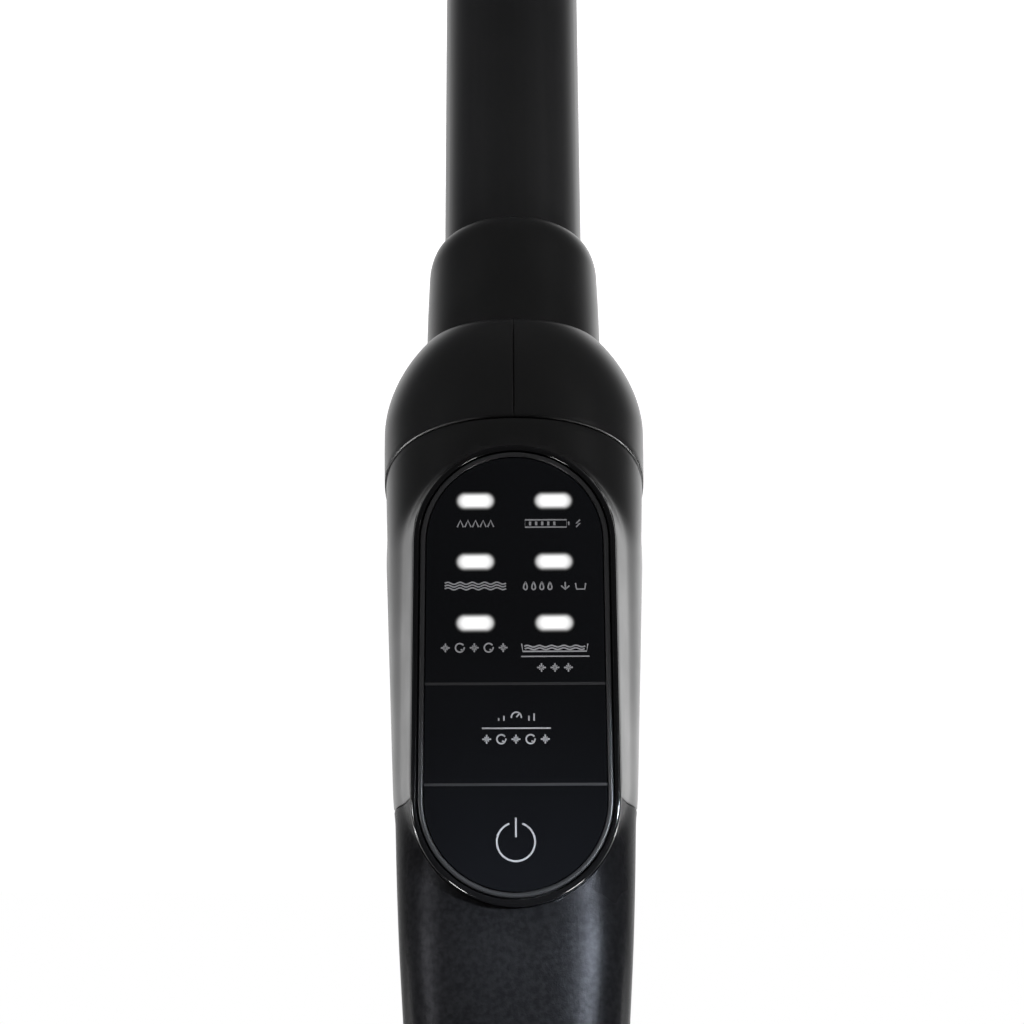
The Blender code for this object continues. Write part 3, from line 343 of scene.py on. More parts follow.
def panel_outline(offset, steps=48):
    """The bezel's obround outline of (x, s) points, moved in by an offset."""
    half = BEZEL_HALF - offset
    outline = []
    for centre, first in ((PANEL_TOP_S - BEZEL_HALF, 0.0), (PANEL_BOTTOM_S + BEZEL_HALF, math.pi)):
        for step in range(steps + 1):
            angle = first + math.pi * step / steps
            outline.append((half * math.cos(angle), centre + half * math.sin(angle)))
    return outline


def ring_sweep(name, outline_at, profile, body, finish, replaced=()):
    """A closed ring: each profile point (offset, h) becomes one loop of the outline."""
    points = [place(x, s, h) for offset, h in profile for x, s in outline_at(offset)]
    faces = ring_faces(len(profile), len(points) // len(profile))
    add_mesh(name, points, faces, body, finish, replaced, 50.0)


def plate(name, levels, body, finish, replaced=(), sharp=30.0):
    """A plate from (outline, h) levels, closed at both ends."""
    points = [place(x, s, h) for shape, h in levels for x, s in shape]
    faces = loft_faces(len(levels), len(levels[0][0]))
    return add_mesh(name, points, faces, body, finish, replaced, sharp)


def turned(name, profile, centre, along, body, finish, replaced=(), sides=96, sharp=30.0):
    """A turned solid from (along, radius) points in metres; centre is the axis's place."""
    points, rows = [], []
    for at, radius in profile:
        if radius == 0:
            rows.append([len(points)] * sides)
            angles = [0.0]
        else:
            rows.append(list(range(len(points), len(points) + sides)))
            angles = [2 * math.pi * side / sides for side in range(sides)]
        for angle in angles:
            across, up = radius * math.cos(angle), radius * math.sin(angle)
            offset = {"X": (at, across, up), "Y": (across, at, up), "Z": (across, up, at)}[along]
            points.append(Vector(centre) + Vector(offset))
    closed = profile[0][1] > 0 and profile[-1][1] > 0
    faces = []
    for row in range(len(rows) if closed else len(rows) - 1):
        here, there = rows[row], rows[(row + 1) % len(rows)]
        for side in range(sides):
            after = (side + 1) % sides
            face = list(dict.fromkeys((here[side], here[after], there[after], there[side])))
            if len(face) > 2:
                faces.append(face)
    return add_mesh(name, points, faces, body, finish, replaced, sharp)


# ---------------------------------------------------------------- materials

def new_finish(name, colour, roughness, **sockets):
    """A Principled material; sockets are named as on the shader."""
    finish = bpy.data.materials.new(name)
    finish.use_nodes = True
    shader = finish.node_tree.nodes["Principled BSDF"]
    shader.inputs["Base Color"].default_value = (*colour, 1.0)
    shader.inputs["Roughness"].default_value = roughness
    for socket, value in sockets.items():
        shader.inputs[socket.replace("_", " ")].default_value = value
    return finish


def node(finish, kind, **values):
    """Adds one node and sets what is named."""
    made = finish.node_tree.nodes.new(kind)
    for key, value in values.items():
        if key in made.inputs:
            made.inputs[key].default_value = value
        else:
            setattr(made, key, value)
    return made


def link(finish, source, output, target, socket):
    """Joins two sockets."""
    finish.node_tree.links.new(source.outputs[output], target.inputs[socket])


def noise(finish, scale, detail=3.0, roughness=0.55, stretch=(1.0, 1.0, 1.0)):
    """A noise texture in the object's own metres."""
    where = node(finish, "ShaderNodeTexCoord")
    mapping = node(finish, "ShaderNodeMapping")
    mapping.inputs["Scale"].default_value = stretch
    link(finish, where, "Object", mapping, "Vector")
    made = node(finish, "ShaderNodeTexNoise", Scale=scale, Detail=detail, Roughness=roughness)
    link(finish, mapping, "Vector", made, "Vector")
    return made


def vary(finish, source, low, high, output="Fac", from_low=0.3, from_high=0.7):
    """Drives the roughness from a texture, between two limits."""
    shader = finish.node_tree.nodes["Principled BSDF"]
    span = node(finish, "ShaderNodeMapRange", **{"From Min": from_low, "From Max": from_high,
                                                 "To Min": low, "To Max": high})
    link(finish, source, output, span, "Value")
    link(finish, span, "Result", shader, "Roughness")


def tint(finish, source, dark, light, output="Fac", low=0.35, high=0.65):
    """Drives the base colour from a texture, between two colours."""
    shader = finish.node_tree.nodes["Principled BSDF"]
    ramp = node(finish, "ShaderNodeValToRGB")
    for mark, at, colour in zip(ramp.color_ramp.elements, (low, high), (dark, light)):
        mark.position = at
        mark.color = (*colour, 1.0)
    link(finish, source, output, ramp, "Fac")
    link(finish, ramp, "Color", shader, "Base Color")


def mottle(finish, source, colour, dark, light):
    """Varies a colour between two shares of itself."""
    tint(finish, source, [c * dark for c in colour], [min(1.0, c * light) for c in colour])


def relief(finish, source, strength, distance, before=None):
    """Adds a bump from a texture, on top of an earlier one if given."""
    shader = finish.node_tree.nodes["Principled BSDF"]
    bump = node(finish, "ShaderNodeBump", Strength=strength, Distance=distance)
    link(finish, source, "Fac", bump, "Height")
    if before:
        link(finish, before, "Normal", bump, "Normal")
    link(finish, bump, "Normal", shader, "Normal")
    return bump


def satin_plastic(name, colour, roughness, grain=2600.0, depth=0.00002, strength=0.25,
                  specular=0.5):
    """Moulded plastic: a fine grain, slow roughness changes and faint cloudiness."""
    finish = new_finish(name, colour, roughness, Specular_IOR_Level=specular)
    vary(finish, noise(finish, 38.0, 4.0), roughness - 0.05, roughness + 0.05)
    mottle(finish, noise(finish, 14.0, 3.0), colour, 0.8, 1.2)
    relief(finish, noise(finish, grain, 2.0), strength, depth)
    return finish


def grip_plastic():
    """The grip's fine spark-eroded texture, whose tiny bumps sparkle in a highlight."""
    finish = new_finish("grip_texture", (0.0125, 0.0125, 0.0135), 0.31, Specular_IOR_Level=0.12,
                        Metallic=0.6, Specular_Tint=(0.1, 0.1, 0.1, 1.0))
    vary(finish, noise(finish, 30.0, 3.0), 0.27, 0.35)
    tint(finish, noise(finish, 900.0, 2.0), (0.014, 0.014, 0.0155), (0.022, 0.022, 0.024))
    first = relief(finish, noise(finish, 3400.0, 3.0, 0.7), 0.55, 0.00006)
    relief(finish, noise(finish, 1500.0, 2.0), 0.3, 0.00008, before=first)
    return finish


def gloss_plastic(name, colour, roughness):
    """Polished plastic or glass with faint waviness."""
    finish = new_finish(name, colour, roughness)
    vary(finish, noise(finish, 55.0, 3.0), roughness * 0.7, roughness * 1.4)
    mottle(finish, noise(finish, 20.0, 2.0), colour, 0.85, 1.15)
    relief(finish, noise(finish, 120.0, 2.0), 0.02, 0.0002)
    return finish


def painted_tube():
    """Black anodised tube with faint drawing lines along it."""
    finish = new_finish("tube_finish", (0.010, 0.010, 0.011), 0.33, Specular_IOR_Level=0.55)
    lines = noise(finish, 900.0, 3.0, stretch=(1.0, 1.0, 0.02))
    vary(finish, lines, 0.29, 0.38)
    tint(finish, noise(finish, 16.0, 3.0), (0.008, 0.008, 0.009), (0.013, 0.013, 0.014))
    relief(finish, lines, 0.08, 0.00003)
    return finish


def glow(name, strength):
    """A lit indicator: bright in the middle, softer to its edge."""
    finish = new_finish(name, (0.9, 0.92, 0.95), 0.4, Emission_Color=WHITE)
    shader = finish.node_tree.nodes["Principled BSDF"]
    shade = node(finish, "ShaderNodeVertexColor", layer_name="glow")
    span = node(finish, "ShaderNodeMapRange", **{"To Min": 0.0, "To Max": strength})
    link(finish, shade, "Color", span, "Value")
    link(finish, span, "Result", shader, "Emission Strength")
    base = node(finish, "ShaderNodeMix", data_type="RGBA")
    base.inputs[6].default_value = (0.006, 0.006, 0.007, 1.0)
    base.inputs[7].default_value = (0.05, 0.05, 0.052, 1.0)
    link(finish, shade, "Color", base, 0)
    link(finish, base, 2, shader, "Base Color")
    return finish


SHELL = satin_plastic("satin_shell", (0.0085, 0.0085, 0.009), 0.34)
GRIP = grip_plastic()
TUBE = painted_tube()
BEZEL = gloss_plastic("bezel_gloss", (0.004, 0.004, 0.0045), 0.09)
RING = satin_plastic("bezel_ring", (0.028, 0.028, 0.030), 0.3, strength=0.1)
GLASS = gloss_plastic("panel_glass", (0.0038, 0.0042, 0.0055), 0.05)
# near-black painted shade for grooves, recess floors, screw recesses and the space behind the vents
PAINTED_GAP_SHADE = satin_plastic("gap_painted_shade", (0.002, 0.002, 0.002), 0.8)
PRINT = satin_plastic("printed_symbol", (0.34, 0.34, 0.36), 0.5, strength=0.05)
LIT = glow("indicator_light", 1.05)


# ---------------------------------------------------------------- handle pieces

COLLAR_SLANT = 0.18


def make_pole():
    """The tube and its collar."""
    axis = ((TUBE_LOW.x + TUBE_HIGH.x) / 2, POLE_Y * MM, 0.0)
    outer, inner = 0.0151, 0.01325
    profile = [(TUBE_LOW.z, inner), (TUBE_LOW.z, outer - 0.0004), (TUBE_LOW.z + 0.0004, outer),
               (TUBE_HIGH.z - 0.0004, outer), (TUBE_HIGH.z, outer - 0.0004), (TUBE_HIGH.z, inner)]
    turned("pole_tube_fine", profile, axis, "Z", "upper_body", TUBE, ("pole_tube",))
    tip, back = COLLAR_LOW.z + 0.0045, COLLAR_HIGH.z
    wall, bore = 0.01842, 0.0154
    long, deep, lip = 0.0062, 0.0028, 0.0003
    profile = [(back, bore), (back, 0.0190), (tip + 0.026, 0.01895), (tip + 0.014, 0.0187)]
    for step in range(13):
        turn = math.radians(90 * step / 12)
        profile.append((tip + long * (1 - math.sin(turn)), wall - deep * (1 - math.cos(turn))))
    profile += [(tip, bore + lip), (tip + lip, bore)]
    collar = turned("pole_collar_fine", profile, axis, "Z", "upper_body", SHELL,
                    ("pole_collar",), sharp=40.0)
    for vertex in collar.data.vertices:
        share = min(1.0, max(0.0, (back - vertex.co.z) / (back - tip)))
        vertex.co.z -= COLLAR_SLANT * share * (vertex.co.y - axis[1])


def make_nose():
    """The nose's two halves, parted on the middle plane."""
    rings = [(UPPER_SEAM_S + SEAM_GAP / 2 + along, UPPER_SEAM_SLANT, rounding(along))
             for along in (0.0, 0.04, 0.1, 0.2, SEAM_ROUND)]
    start = rings[-1][0]
    for step in range(1, 41):
        share = math.sin(math.radians(90 * step / 40))
        s = start + (NOSE_MOUTH_S - start) * share
        lip = max(0.0, share - 0.955) / 0.045
        rings.append((s, UPPER_SEAM_SLANT * (1 - share), 0.55 * (1 - math.sqrt(1 - lip ** 2 * 0.98))))
    hole = COLLAR_HIGH.x / MM + 0.25
    for name, middle in (("nose_left_shell", math.pi), ("nose_right_shell", 0.0)):
        angles = edge_angles(middle - math.pi / 2, middle + math.pi / 2, 60)
        half = shell(name + "_fine", rings, angles, "upper_body", SHELL, (name,),
                     hole=hole)
        sign, gap = (1 if middle == 0.0 else -1), 0.05 * MM
        for vertex in half.data.vertices:
            vertex.co.x = sign * max(gap, sign * vertex.co.x)


def make_housing():
    """The panel cover, the shell behind it and the grip's two halves."""
    upper = UPPER_SEAM_S - SEAM_GAP / 2
    cover = seam_stations(upper, LOWER_SEAM_S + SEAM_GAP / 2, 56, UPPER_SEAM_SLANT, 0.0)
    grip = seam_stations(LOWER_SEAM_S - SEAM_GAP / 2, GRIP_END_S, 84, 0.0, 0.0)
    part = math.radians(0.25)
    pieces = (
        ("panel_cover", cover, part, math.pi - part, SHELL, "shell_black", 96),
        ("panel_under_shell", cover, math.pi + part, 2 * math.pi - part, SHELL, "shell_black", 48),
        ("grip_upper_shell", grip, part, math.pi - part, GRIP, "grip_black", 96),
        ("grip_lower_shell", grip, math.pi + part, 2 * math.pi - part, GRIP, "grip_black", 48),
    )
    for name, rings, first, last, finish, slot, count in pieces:
        angles = edge_angles(first, last, count)
        made = shell(name + "_fine", rings, angles, "upper_body", finish, (name,),
                     step=SEAM_STEP)
        if name in ("panel_cover", "grip_upper_shell"):
            cut_panel_pocket(made)


def cut_panel_pocket(piece):
    """Opens the obround pocket for the bezel."""
    outline = panel_outline(-0.12)
    points = [place(x, s, h) for h in (9.0, 40.0) for x, s in outline]
    cutter = new_object("pocket", solid_mesh("pocket", points, loft_faces(2, len(outline))))
    step = piece.modifiers.new("pocket", "BOOLEAN")
    step.operation = "DIFFERENCE"
    step.solver = "EXACT"
    step.object = cutter
    graph = bpy.context.evaluated_depsgraph_get()
    shaped = bpy.data.meshes.new_from_object(piece.evaluated_get(graph))
    piece.modifiers.clear()
    piece.data = shaped
    bpy.data.objects.remove(cutter)
    piece.data.shade_smooth()
    piece.data.set_sharp_from_angle(angle=math.radians(30.0))


def make_grip_end():
    """The grip's rounded end cap."""
    rows, columns, turn = 14, 96, math.radians(82)
    first = GRIP_END_S - 0.2
    points = []
    for row in range(rows):
        angle = turn * row / (rows - 1)
        s = first + (CAP_END_S - first) * math.sin(angle) / math.sin(turn)
        inset = SEAM_STEP + CAP_ROUND * (1 - math.cos(angle))
        for column in range(columns):
            around = 2 * math.pi * (column + 0.5) / columns
            points.append(place(*surface(s, 0.0, around, inset)))
    add_mesh("grip_end_cap_fine", points, loft_faces(rows, columns), "upper_body", SHELL,
             ("grip_end_cap",))


BEZEL_RIM = 2.5
GLASS_DROP = 0.42
GLASS_GAP = 0.12


def make_bezel():
    """The gloss bezel with its inner ring, drawn as two closed rings."""
    top = PANEL_H
    outer = [(0.0, top - 5.0), (0.0, top - 0.55), (0.08, top - 0.25), (0.28, top - 0.06),
             (0.55, top), (0.95, top - 0.02), (1.1, top - 0.12), (1.15, top - 0.4),
             (1.15, top - 2.2), (2.2, top - 2.2), (2.2, top - 5.0)]
    ring_sweep("panel_bezel_fine", panel_outline, outer, "upper_body", BEZEL,
               ("panel_bezel",))
    inner = [(1.45, top - 2.0), (1.45, top - 0.5), (1.52, top - 0.34), (1.68, top - 0.26),
             (2.2, top - 0.26), (2.36, top - 0.34), (2.42, top - 0.5), (2.42, top - 2.0)]
    ring_sweep("bezel_inner_ring", panel_outline, inner, "upper_body", RING)
    # the groove floor between the bezel rim and the inner ring is near black: painted shade
    floor = [(panel_outline(0.9, 24), top - 2.25), (panel_outline(0.9, 24), top - 2.05)]
    plate("bezel_floor", floor, "upper_body", PAINTED_GAP_SHADE)


def clipped(outline, top_s, bottom_s):
    """The stretch of a convex (x, s) outline between two straight cuts."""
    result = []
    for (x0, s0), (x1, s1) in zip(outline, outline[1:] + outline[:1]):
        if bottom_s <= s0 <= top_s:
            result.append((x0, s0))
        crossings = []
        for level in (top_s, bottom_s):
            if (s0 - level) * (s1 - level) < 0:
                share = (level - s0) / (s1 - s0)
                crossings.append((share, (x0 + (x1 - x0) * share, level)))
        result += [point for _, point in sorted(crossings)]
    return result


DIVIDERS = (-42.1, -61.5)
DIVIDER_HALF = 0.16


def make_glass():
    """The three glass plates: the display window and the two keys."""
    inset = BEZEL_RIM + GLASS_GAP
    zones = (
        ("display_window", "upper_body", 99.0, DIVIDERS[0]),
        ("speed_key", "speed_button", DIVIDERS[0], DIVIDERS[1]),
        ("power_key", "power_button", DIVIDERS[1], -199.0),
    )
    top = PANEL_H - GLASS_DROP
    for name, body, high, low in zones:
        levels = []
        for shrink, h in ((0.0, top - 0.9), (0.0, top - 0.08), (0.08, top)):
            gap = DIVIDER_HALF + shrink
            levels.append((clipped(panel_outline(inset + shrink, 64), high - gap, low + gap), h))
        plate(name + "_fine", levels, body, GLASS, (name,), sharp=40.0)
    half = BEZEL_HALF - inset
    for index, s in enumerate(DIVIDERS):
        shape = [(-half, s - 0.26), (half, s - 0.26), (half, s + 0.26), (-half, s + 0.26)]
        plate(f"divider_line_{index + 1}", [(shape, top - 0.6), (shape, top + 0.03)],
              "upper_body", RING)


LIGHT_ROWS = (-5.25, -17.75, -30.1)
LIGHT_X = 7.7
LIGHT_HALF = (4.15, 2.1)
LIGHT_FADE = 0.62


def make_light(name, side, s):
    """One lit indicator: a soft obround glow on the window."""
    top = PANEL_H - GLASS_DROP + 0.03
    sides, rings = 48, 12
    straight = LIGHT_HALF[0] - LIGHT_HALF[1]
    points, shades = [], []
    for ring in range(rings + 1):
        share = ring / rings
        fade = min(1.0, max(0.0, (1.0 - share) / LIGHT_FADE))
        for step in range(sides):
            angle = 2 * math.pi * step / sides
            shift = straight if math.cos(angle) >= 0 else -straight
            x = share * LIGHT_HALF[1] * math.cos(angle) + shift * min(1.0, share * 1.6)
            points.append(place(side * LIGHT_X + x, s + share * LIGHT_HALF[1] * math.sin(angle),
                                top + 0.05 * (1 - share ** 4)))
            shades.append((fade * fade * (3 - 2 * fade)) ** 1.6)
    points += [point - Vector((0.0, 0.1 * MM, 0.0)) for point in points[-sides:]]
    shades += [0.0] * sides
    faces = loft_faces(rings + 2, sides, caps=False)
    faces += [tuple(range(sides)), tuple(range(len(points) - sides, len(points)))]
    lamp = add_mesh(name, points, faces, "upper_body", LIT, sharp=0.0)
    layer = lamp.data.color_attributes.new("glow", "FLOAT_COLOR", "POINT")
    for index, shade in enumerate(shades):
        layer.data[index].color = (shade, shade, shade, 1.0)


def make_lights():
    """The six lit indicators and the clear guide under them."""
    for row, s in enumerate(LIGHT_ROWS):
        for column, side in enumerate((-1, 1)):
            make_light(f"indicator_{row * 2 + column + 1}", side, s)
    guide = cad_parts["indicator_light_guide"]
    guide.data.materials.clear()
    guide.data.materials.append(satin_plastic("light_guide_clear", (0.6, 0.62, 0.65), 0.3))


STROKE = 0.17
THIN = 0.14


def stroke_path(points, half, closed):
    """Strips (left, right) along a path of (x, s) points."""
    left, right = [], []
    count = len(points)
    for index, (x, s) in enumerate(points):
        before = points[(index - 1) % count] if closed or index else points[index]
        after = points[(index + 1) % count] if closed or index < count - 1 else points[index]
        dx, ds = after[0] - before[0], after[1] - before[1]
        length = math.hypot(dx, ds) or 1.0
        left.append((x - ds / length * half, s + dx / length * half))
        right.append((x + ds / length * half, s - dx / length * half))
    return left, right


def symbol(name, strokes, body, centre):
    """A printed symbol: thin raised strokes just above the glass, in one piece."""
    low, high = PANEL_H - GLASS_DROP - 0.02, PANEL_H - GLASS_DROP + 0.025
    points, faces = [], []
    for path, half, closed in strokes:
        moved = [(centre[0] + x, centre[1] + s) for x, s in path]
        left, right = stroke_path(moved, half, closed)
        count = len(path)
        base = len(points)
        for h in (low, high):
            points += [place(x, s, h) for x, s in left]
            points += [place(x, s, h) for x, s in right]
        spans = count if closed else count - 1
        for index in range(spans):
            a, b = index, (index + 1) % count
            la, lb, ra, rb = a, b, count + a, count + b
            up = 2 * count
            for quad in ((la, lb, rb, ra), (up + la, up + ra, up + rb, up + lb),
                         (la, up + la, up + lb, lb), (ra, rb, up + rb, up + ra)):
                faces.append(tuple(base + corner for corner in quad))
        if not closed:
            for end in (0, count - 1):
                faces.append(tuple(base + corner for corner in
                                   (end, count + end, 3 * count + end, 2 * count + end)))
    return add_mesh(name, points, faces, body, PRINT, sharp=0.0)


def circle(radius, first=0.0, last=360.0, steps=40, centre=(0.0, 0.0)):
    """(x, s) points of an arc; angles run from +x towards +s."""
    return [(centre[0] + radius * math.cos(math.radians(first + (last - first) * i / steps)),
             centre[1] + radius * math.sin(math.radians(first + (last - first) * i / steps)))
            for i in range(steps + 1)]


def drop_shape(size, centre=(0.0, 0.0), steps=32):
    """A water drop's outline, its tip towards the nose."""
    points = []
    for i in range(steps):
        t = 2 * math.pi * i / steps
        x = size * 0.62 * math.sin(t) * math.sin(t / 2) ** 1.3
        s = size * 0.95 * math.cos(t)
        points.append((centre[0] + x, centre[1] + s))
    return points


def wave_path(width, height, s, turns=2, steps=28):
    """A little wave across."""
    return [(-width / 2 + width * i / steps,
             s + height * math.sin(2 * math.pi * turns * i / steps)) for i in range(steps + 1)]


def shifted(strokes, x, s=0.0):
    """Strokes moved across and along."""
    return [([(px + x, ps + s) for px, ps in path], half, closed) for path, half, closed in strokes]


def line(*points, half=THIN):
    """One open stroke through its points."""
    return list(points), half, False


def make_symbols():
    """Plain pictograms under the lights and on the keys: no lettering."""
    rows = (-9.95, -22.65, -35.0)
    left, right = -LIGHT_X, LIGHT_X
    spark = [line((0.0, 0.85), (0.0, -0.85)), line((-0.85, 0.0), (0.85, 0.0)),
             line((-0.42, 0.42), (0.42, -0.42), half=THIN * 0.7),
             line((-0.42, -0.42), (0.42, 0.42), half=THIN * 0.7)]
    renew = [(circle(0.85, 35, 325), THIN, False),
             line((0.15, -0.35), (0.72, -0.5), (0.9, 0.1))]
    boost = [line((x - 0.6, -0.7), (x, 0.7), (x + 0.6, -0.7))
             for x in (-3.0, -1.5, 0.0, 1.5, 3.0)]
    symbol("symbol_boost", boost, "upper_body", (left, rows[0]))
    cell = [([(-5.6, -0.75), (2.6, -0.75), (2.6, 0.75), (-5.6, 0.75)], THIN, True),
            line((3.05, -0.35), (3.05, 0.35)),
            line((5.3, 0.75), (4.5, -0.05), (5.3, 0.05), (4.5, -0.75))]
    cell += [line((x, -0.4), (x, 0.4), half=THIN * 1.6) for x in (-4.6, -3.4, -2.2, -1.0, 0.2)]
    symbol("symbol_charging", cell, "upper_body", (right, rows[0]))
    dry = [(wave_path(12.0, 0.2, level, 5, 70), THIN, False) for level in (-0.55, 0.0, 0.55)]
    symbol("symbol_dry", dry, "upper_body", (left, rows[1]))
    fill = [(drop_shape(0.8, (x, 0.0)), THIN, True) for x in (-5.6, -4.0, -2.4, -0.8)]
    fill += [line((2.2, 0.75), (2.2, -0.6)),
             line((1.4, 0.0), (2.2, -0.75), (3.0, 0.0)),
             line((4.2, 0.5), (4.4, -0.7), (6.0, -0.7), (6.2, 0.5))]
    symbol("symbol_fill_water", fill, "upper_body", (right, rows[1]))
    wash = shifted(spark, -5.8) + shifted(renew, -3.0) + shifted(spark, -0.2) + shifted(renew, 2.6)
    wash += shifted(spark, 5.4)
    symbol("symbol_self_clean", wash, "upper_body", (left, rows[2]))
    full = [line((-6.4, 0.75), (-6.2, -0.75), (6.2, -0.75), (6.4, 0.75)),
            (wave_path(11.8, 0.16, 0.25, 5, 70), THIN, False),
            (wave_path(11.6, 0.16, -0.25, 5, 70), THIN, False)]
    symbol("symbol_full_water", full, "upper_body", (right, rows[2]))
    symbol("rule_full_water", [line((-6.6, 0.0), (6.6, 0.0), half=0.12)], "upper_body",
           (right + 0.1, -36.75))
    clean = shifted(spark, -2.6) + spark + shifted(spark, 2.6)
    symbol("symbol_clean", clean, "upper_body", (right, -38.95))
    dial = [(circle(0.95, -10, 190), THIN, False), line((0.0, 0.0), (0.5, 0.55))]
    dial += [line((x, -0.7), (x, -0.7 + rise))
             for x, rise in ((-3.4, 0.5), (-2.4, 0.95), (2.4, 0.95), (3.4, 1.4))]
    symbol("symbol_speed", dial, "speed_button", (0.2, -48.6))
    symbol("rule_speed", [line((-6.6, 0.0), (6.6, 0.0), half=0.14)], "speed_button", (0.2, -50.75))
    symbol("symbol_key_clean", wash, "speed_button", (0.3, -52.85))
    power = [(circle(3.6, 110, 430, 64), STROKE, False), line((0.0, 4.5), (0.0, 0.85), half=STROKE)]
    symbol("symbol_power", power, "power_button", (0.0, -72.25))


def make_handle():
    """Everything from the pole to the end of the grip."""
    make_pole()
    make_nose()
    make_housing()
    make_grip_end()
    make_bezel()
    make_glass()
    make_lights()
    make_symbols()


make_handle()

# ---------------------------------------------------------------- finishes of the machine

INNER = satin_plastic("inner_grey_plastic", (0.045, 0.047, 0.05), 0.5)
CASING = satin_plastic("casing_black", (0.0125, 0.0125, 0.0135), 0.36, strength=0.3)
TRIM = gloss_plastic("trim_gloss", (0.006, 0.006, 0.007), 0.12)
ACCENT = satin_plastic("accent_grey", (0.11, 0.115, 0.12), 0.42, strength=0.15)
RUBBER = satin_plastic("soft_rubber", (0.02, 0.02, 0.021), 0.72, grain=1500.0, strength=0.4,
                       specular=0.3)
HOSE = satin_plastic("hose_plastic", (0.05, 0.052, 0.056), 0.55, grain=1800.0)
FILTER = satin_plastic("filter_white_foam", (0.72, 0.72, 0.70), 0.85, grain=900.0, depth=0.0001,
                       strength=0.5, specular=0.2)
BATTERY = satin_plastic("battery_sleeve", (0.02, 0.05, 0.11), 0.35)


def brushed_metal(name, colour, roughness):
    """Metal with fine turning lines and slight stains."""
    finish = new_finish(name, colour, roughness, Metallic=1.0)
    lines = noise(finish, 700.0, 2.0, stretch=(0.05, 1.0, 1.0))
    vary(finish, lines, roughness - 0.08, roughness + 0.1)
    mottle(finish, noise(finish, 25.0, 3.0), colour, 0.85, 1.1)
    relief(finish, lines, 0.06, 0.00003)
    return finish


def smoked_clear(name, colour, roughness=0.06):
    """Smoked clear plastic with faint flow lines."""
    finish = new_finish(name, colour, roughness, Transmission_Weight=0.9, IOR=1.3)
    flow = noise(finish, 9.0, 3.0, stretch=(1.0, 1.0, 0.35))
    vary(finish, flow, roughness * 0.6, roughness * 1.8)
    mottle(finish, flow, colour, 0.88, 1.06)
    relief(finish, noise(finish, 30.0, 1.0), 0.01, 0.0002)
    return finish


def circuit_laminate():
    """Green laminate with tracks from a brick-like pattern."""
    finish = new_finish("circuit_laminate", (0.01, 0.09, 0.03), 0.4)
    where = node(finish, "ShaderNodeTexCoord")
    tracks = node(finish, "ShaderNodeTexVoronoi", Scale=420.0)
    tracks.feature = "DISTANCE_TO_EDGE"
    link(finish, where, "Object", tracks, "Vector")
    tint(finish, tracks, (0.03, 0.22, 0.08), (0.008, 0.07, 0.025), "Distance", 0.02, 0.08)
    vary(finish, tracks, 0.25, 0.5, "Distance", 0.0, 0.1)
    return finish


def woven_fabric():
    """Short roller pile with slanting dark bands."""
    finish = new_finish("roller_pile", (0.16, 0.17, 0.18), 0.95, Specular_IOR_Level=0.1,
                        Sheen_Weight=0.6)
    tuft = noise(finish, 1300.0, 4.0, 0.7)
    tint(finish, tuft, (0.085, 0.09, 0.10), (0.26, 0.27, 0.285))
    vary(finish, tuft, 0.85, 1.0)
    relief(finish, tuft, 0.9, 0.0006)
    return finish


STEEL = brushed_metal("fastener_steel", (0.42, 0.42, 0.43), 0.32)
MOTOR = brushed_metal("motor_steel", (0.33, 0.33, 0.34), 0.38)
GOLD = brushed_metal("contact_gold", (0.75, 0.55, 0.22), 0.28)
CLEAR = smoked_clear("smoked_clear", (0.42, 0.44, 0.47))
CLEAR_CLEAN = smoked_clear("clean_tank_clear", (0.62, 0.66, 0.70))
CIRCUIT = circuit_laminate()
PILE = woven_fabric()
PILE_DARK = satin_plastic("roller_band", (0.035, 0.036, 0.04), 0.95, grain=1200.0, depth=0.0004,
                          strength=0.9, specular=0.1)


# ---------------------------------------------------------------- shapes of the machine

def rounded_outline(low, high, near, far, steps=14):
    """(x, y) of a rectangle with round corners; far is for the corners at high."""
    x0, y0, x1, y1 = low[0], low[1], high[0], high[1]
    corners = (((x1 - far, y1 - far), far, 0), ((x0 + far, y1 - far), far, 90),
               ((x0 + near, y0 + near), near, 180), ((x1 - near, y0 + near), near, 270))
    outline = []
    for (x, y), radius, first in corners:
        for step in range(steps + 1):
            angle = math.radians(first + 90 * step / steps)
            outline.append((x + radius * math.cos(angle), y + radius * math.sin(angle)))
    return outline


def raised(z0, z1, foot, top, ease):
    """(outset, z) levels of a low band between two heights."""
    return (foot, z0), (top, z0 + ease), (top, z1 - ease), (foot, z1)


def band(name, low, high, near, levels, thick, body, finish):
    """A hollow band round a body: (outset, z) levels in millimetres, and its thickness."""
    loops = list(levels) + [(outset - thick, z) for outset, z in reversed(levels)]
    points = []
    for outset, z in loops:
        outline = rounded_outline((low[0] - outset, low[1] - outset),
                                  (high[0] + outset, high[1] + outset), near + outset,
                                  REAR_CORNER + outset)
        points += [Vector((x, y, z)) * MM for x, y in outline]
    add_mesh(name, points, ring_faces(len(loops), len(outline)), body, finish)


def slab(name, low, high, edge, body, finish):
    """A block with rounded edges, in millimetres."""
    mesh = bpy.data.meshes.new(name)
    work = bmesh.new()
    bmesh.ops.create_cube(work, size=1.0)
    for vertex in work.verts:
        vertex.co = Vector([low[i] + (high[i] - low[i]) * (vertex.co[i] + 0.5) for i in range(3)]) * MM
    bmesh.ops.bevel(work, geom=list(work.edges), offset=edge * MM, segments=3, affect="EDGES",
                    profile=0.5)
    work.to_mesh(mesh)
    work.free()
    dress(new_object(name, mesh), body, finish, sharp=35.0)


def slab_row(name, count, shift, low, high, edge, body, finish):
    """Equal slabs in a row; shift is the way from one to the next, in millimetres."""
    for index in range(count):
        move = [step * index for step in shift]
        slab(f"{name}_{index + 1}", [a + m for a, m in zip(low, move)],
             [b + m for b, m in zip(high, move)], edge, body, finish)


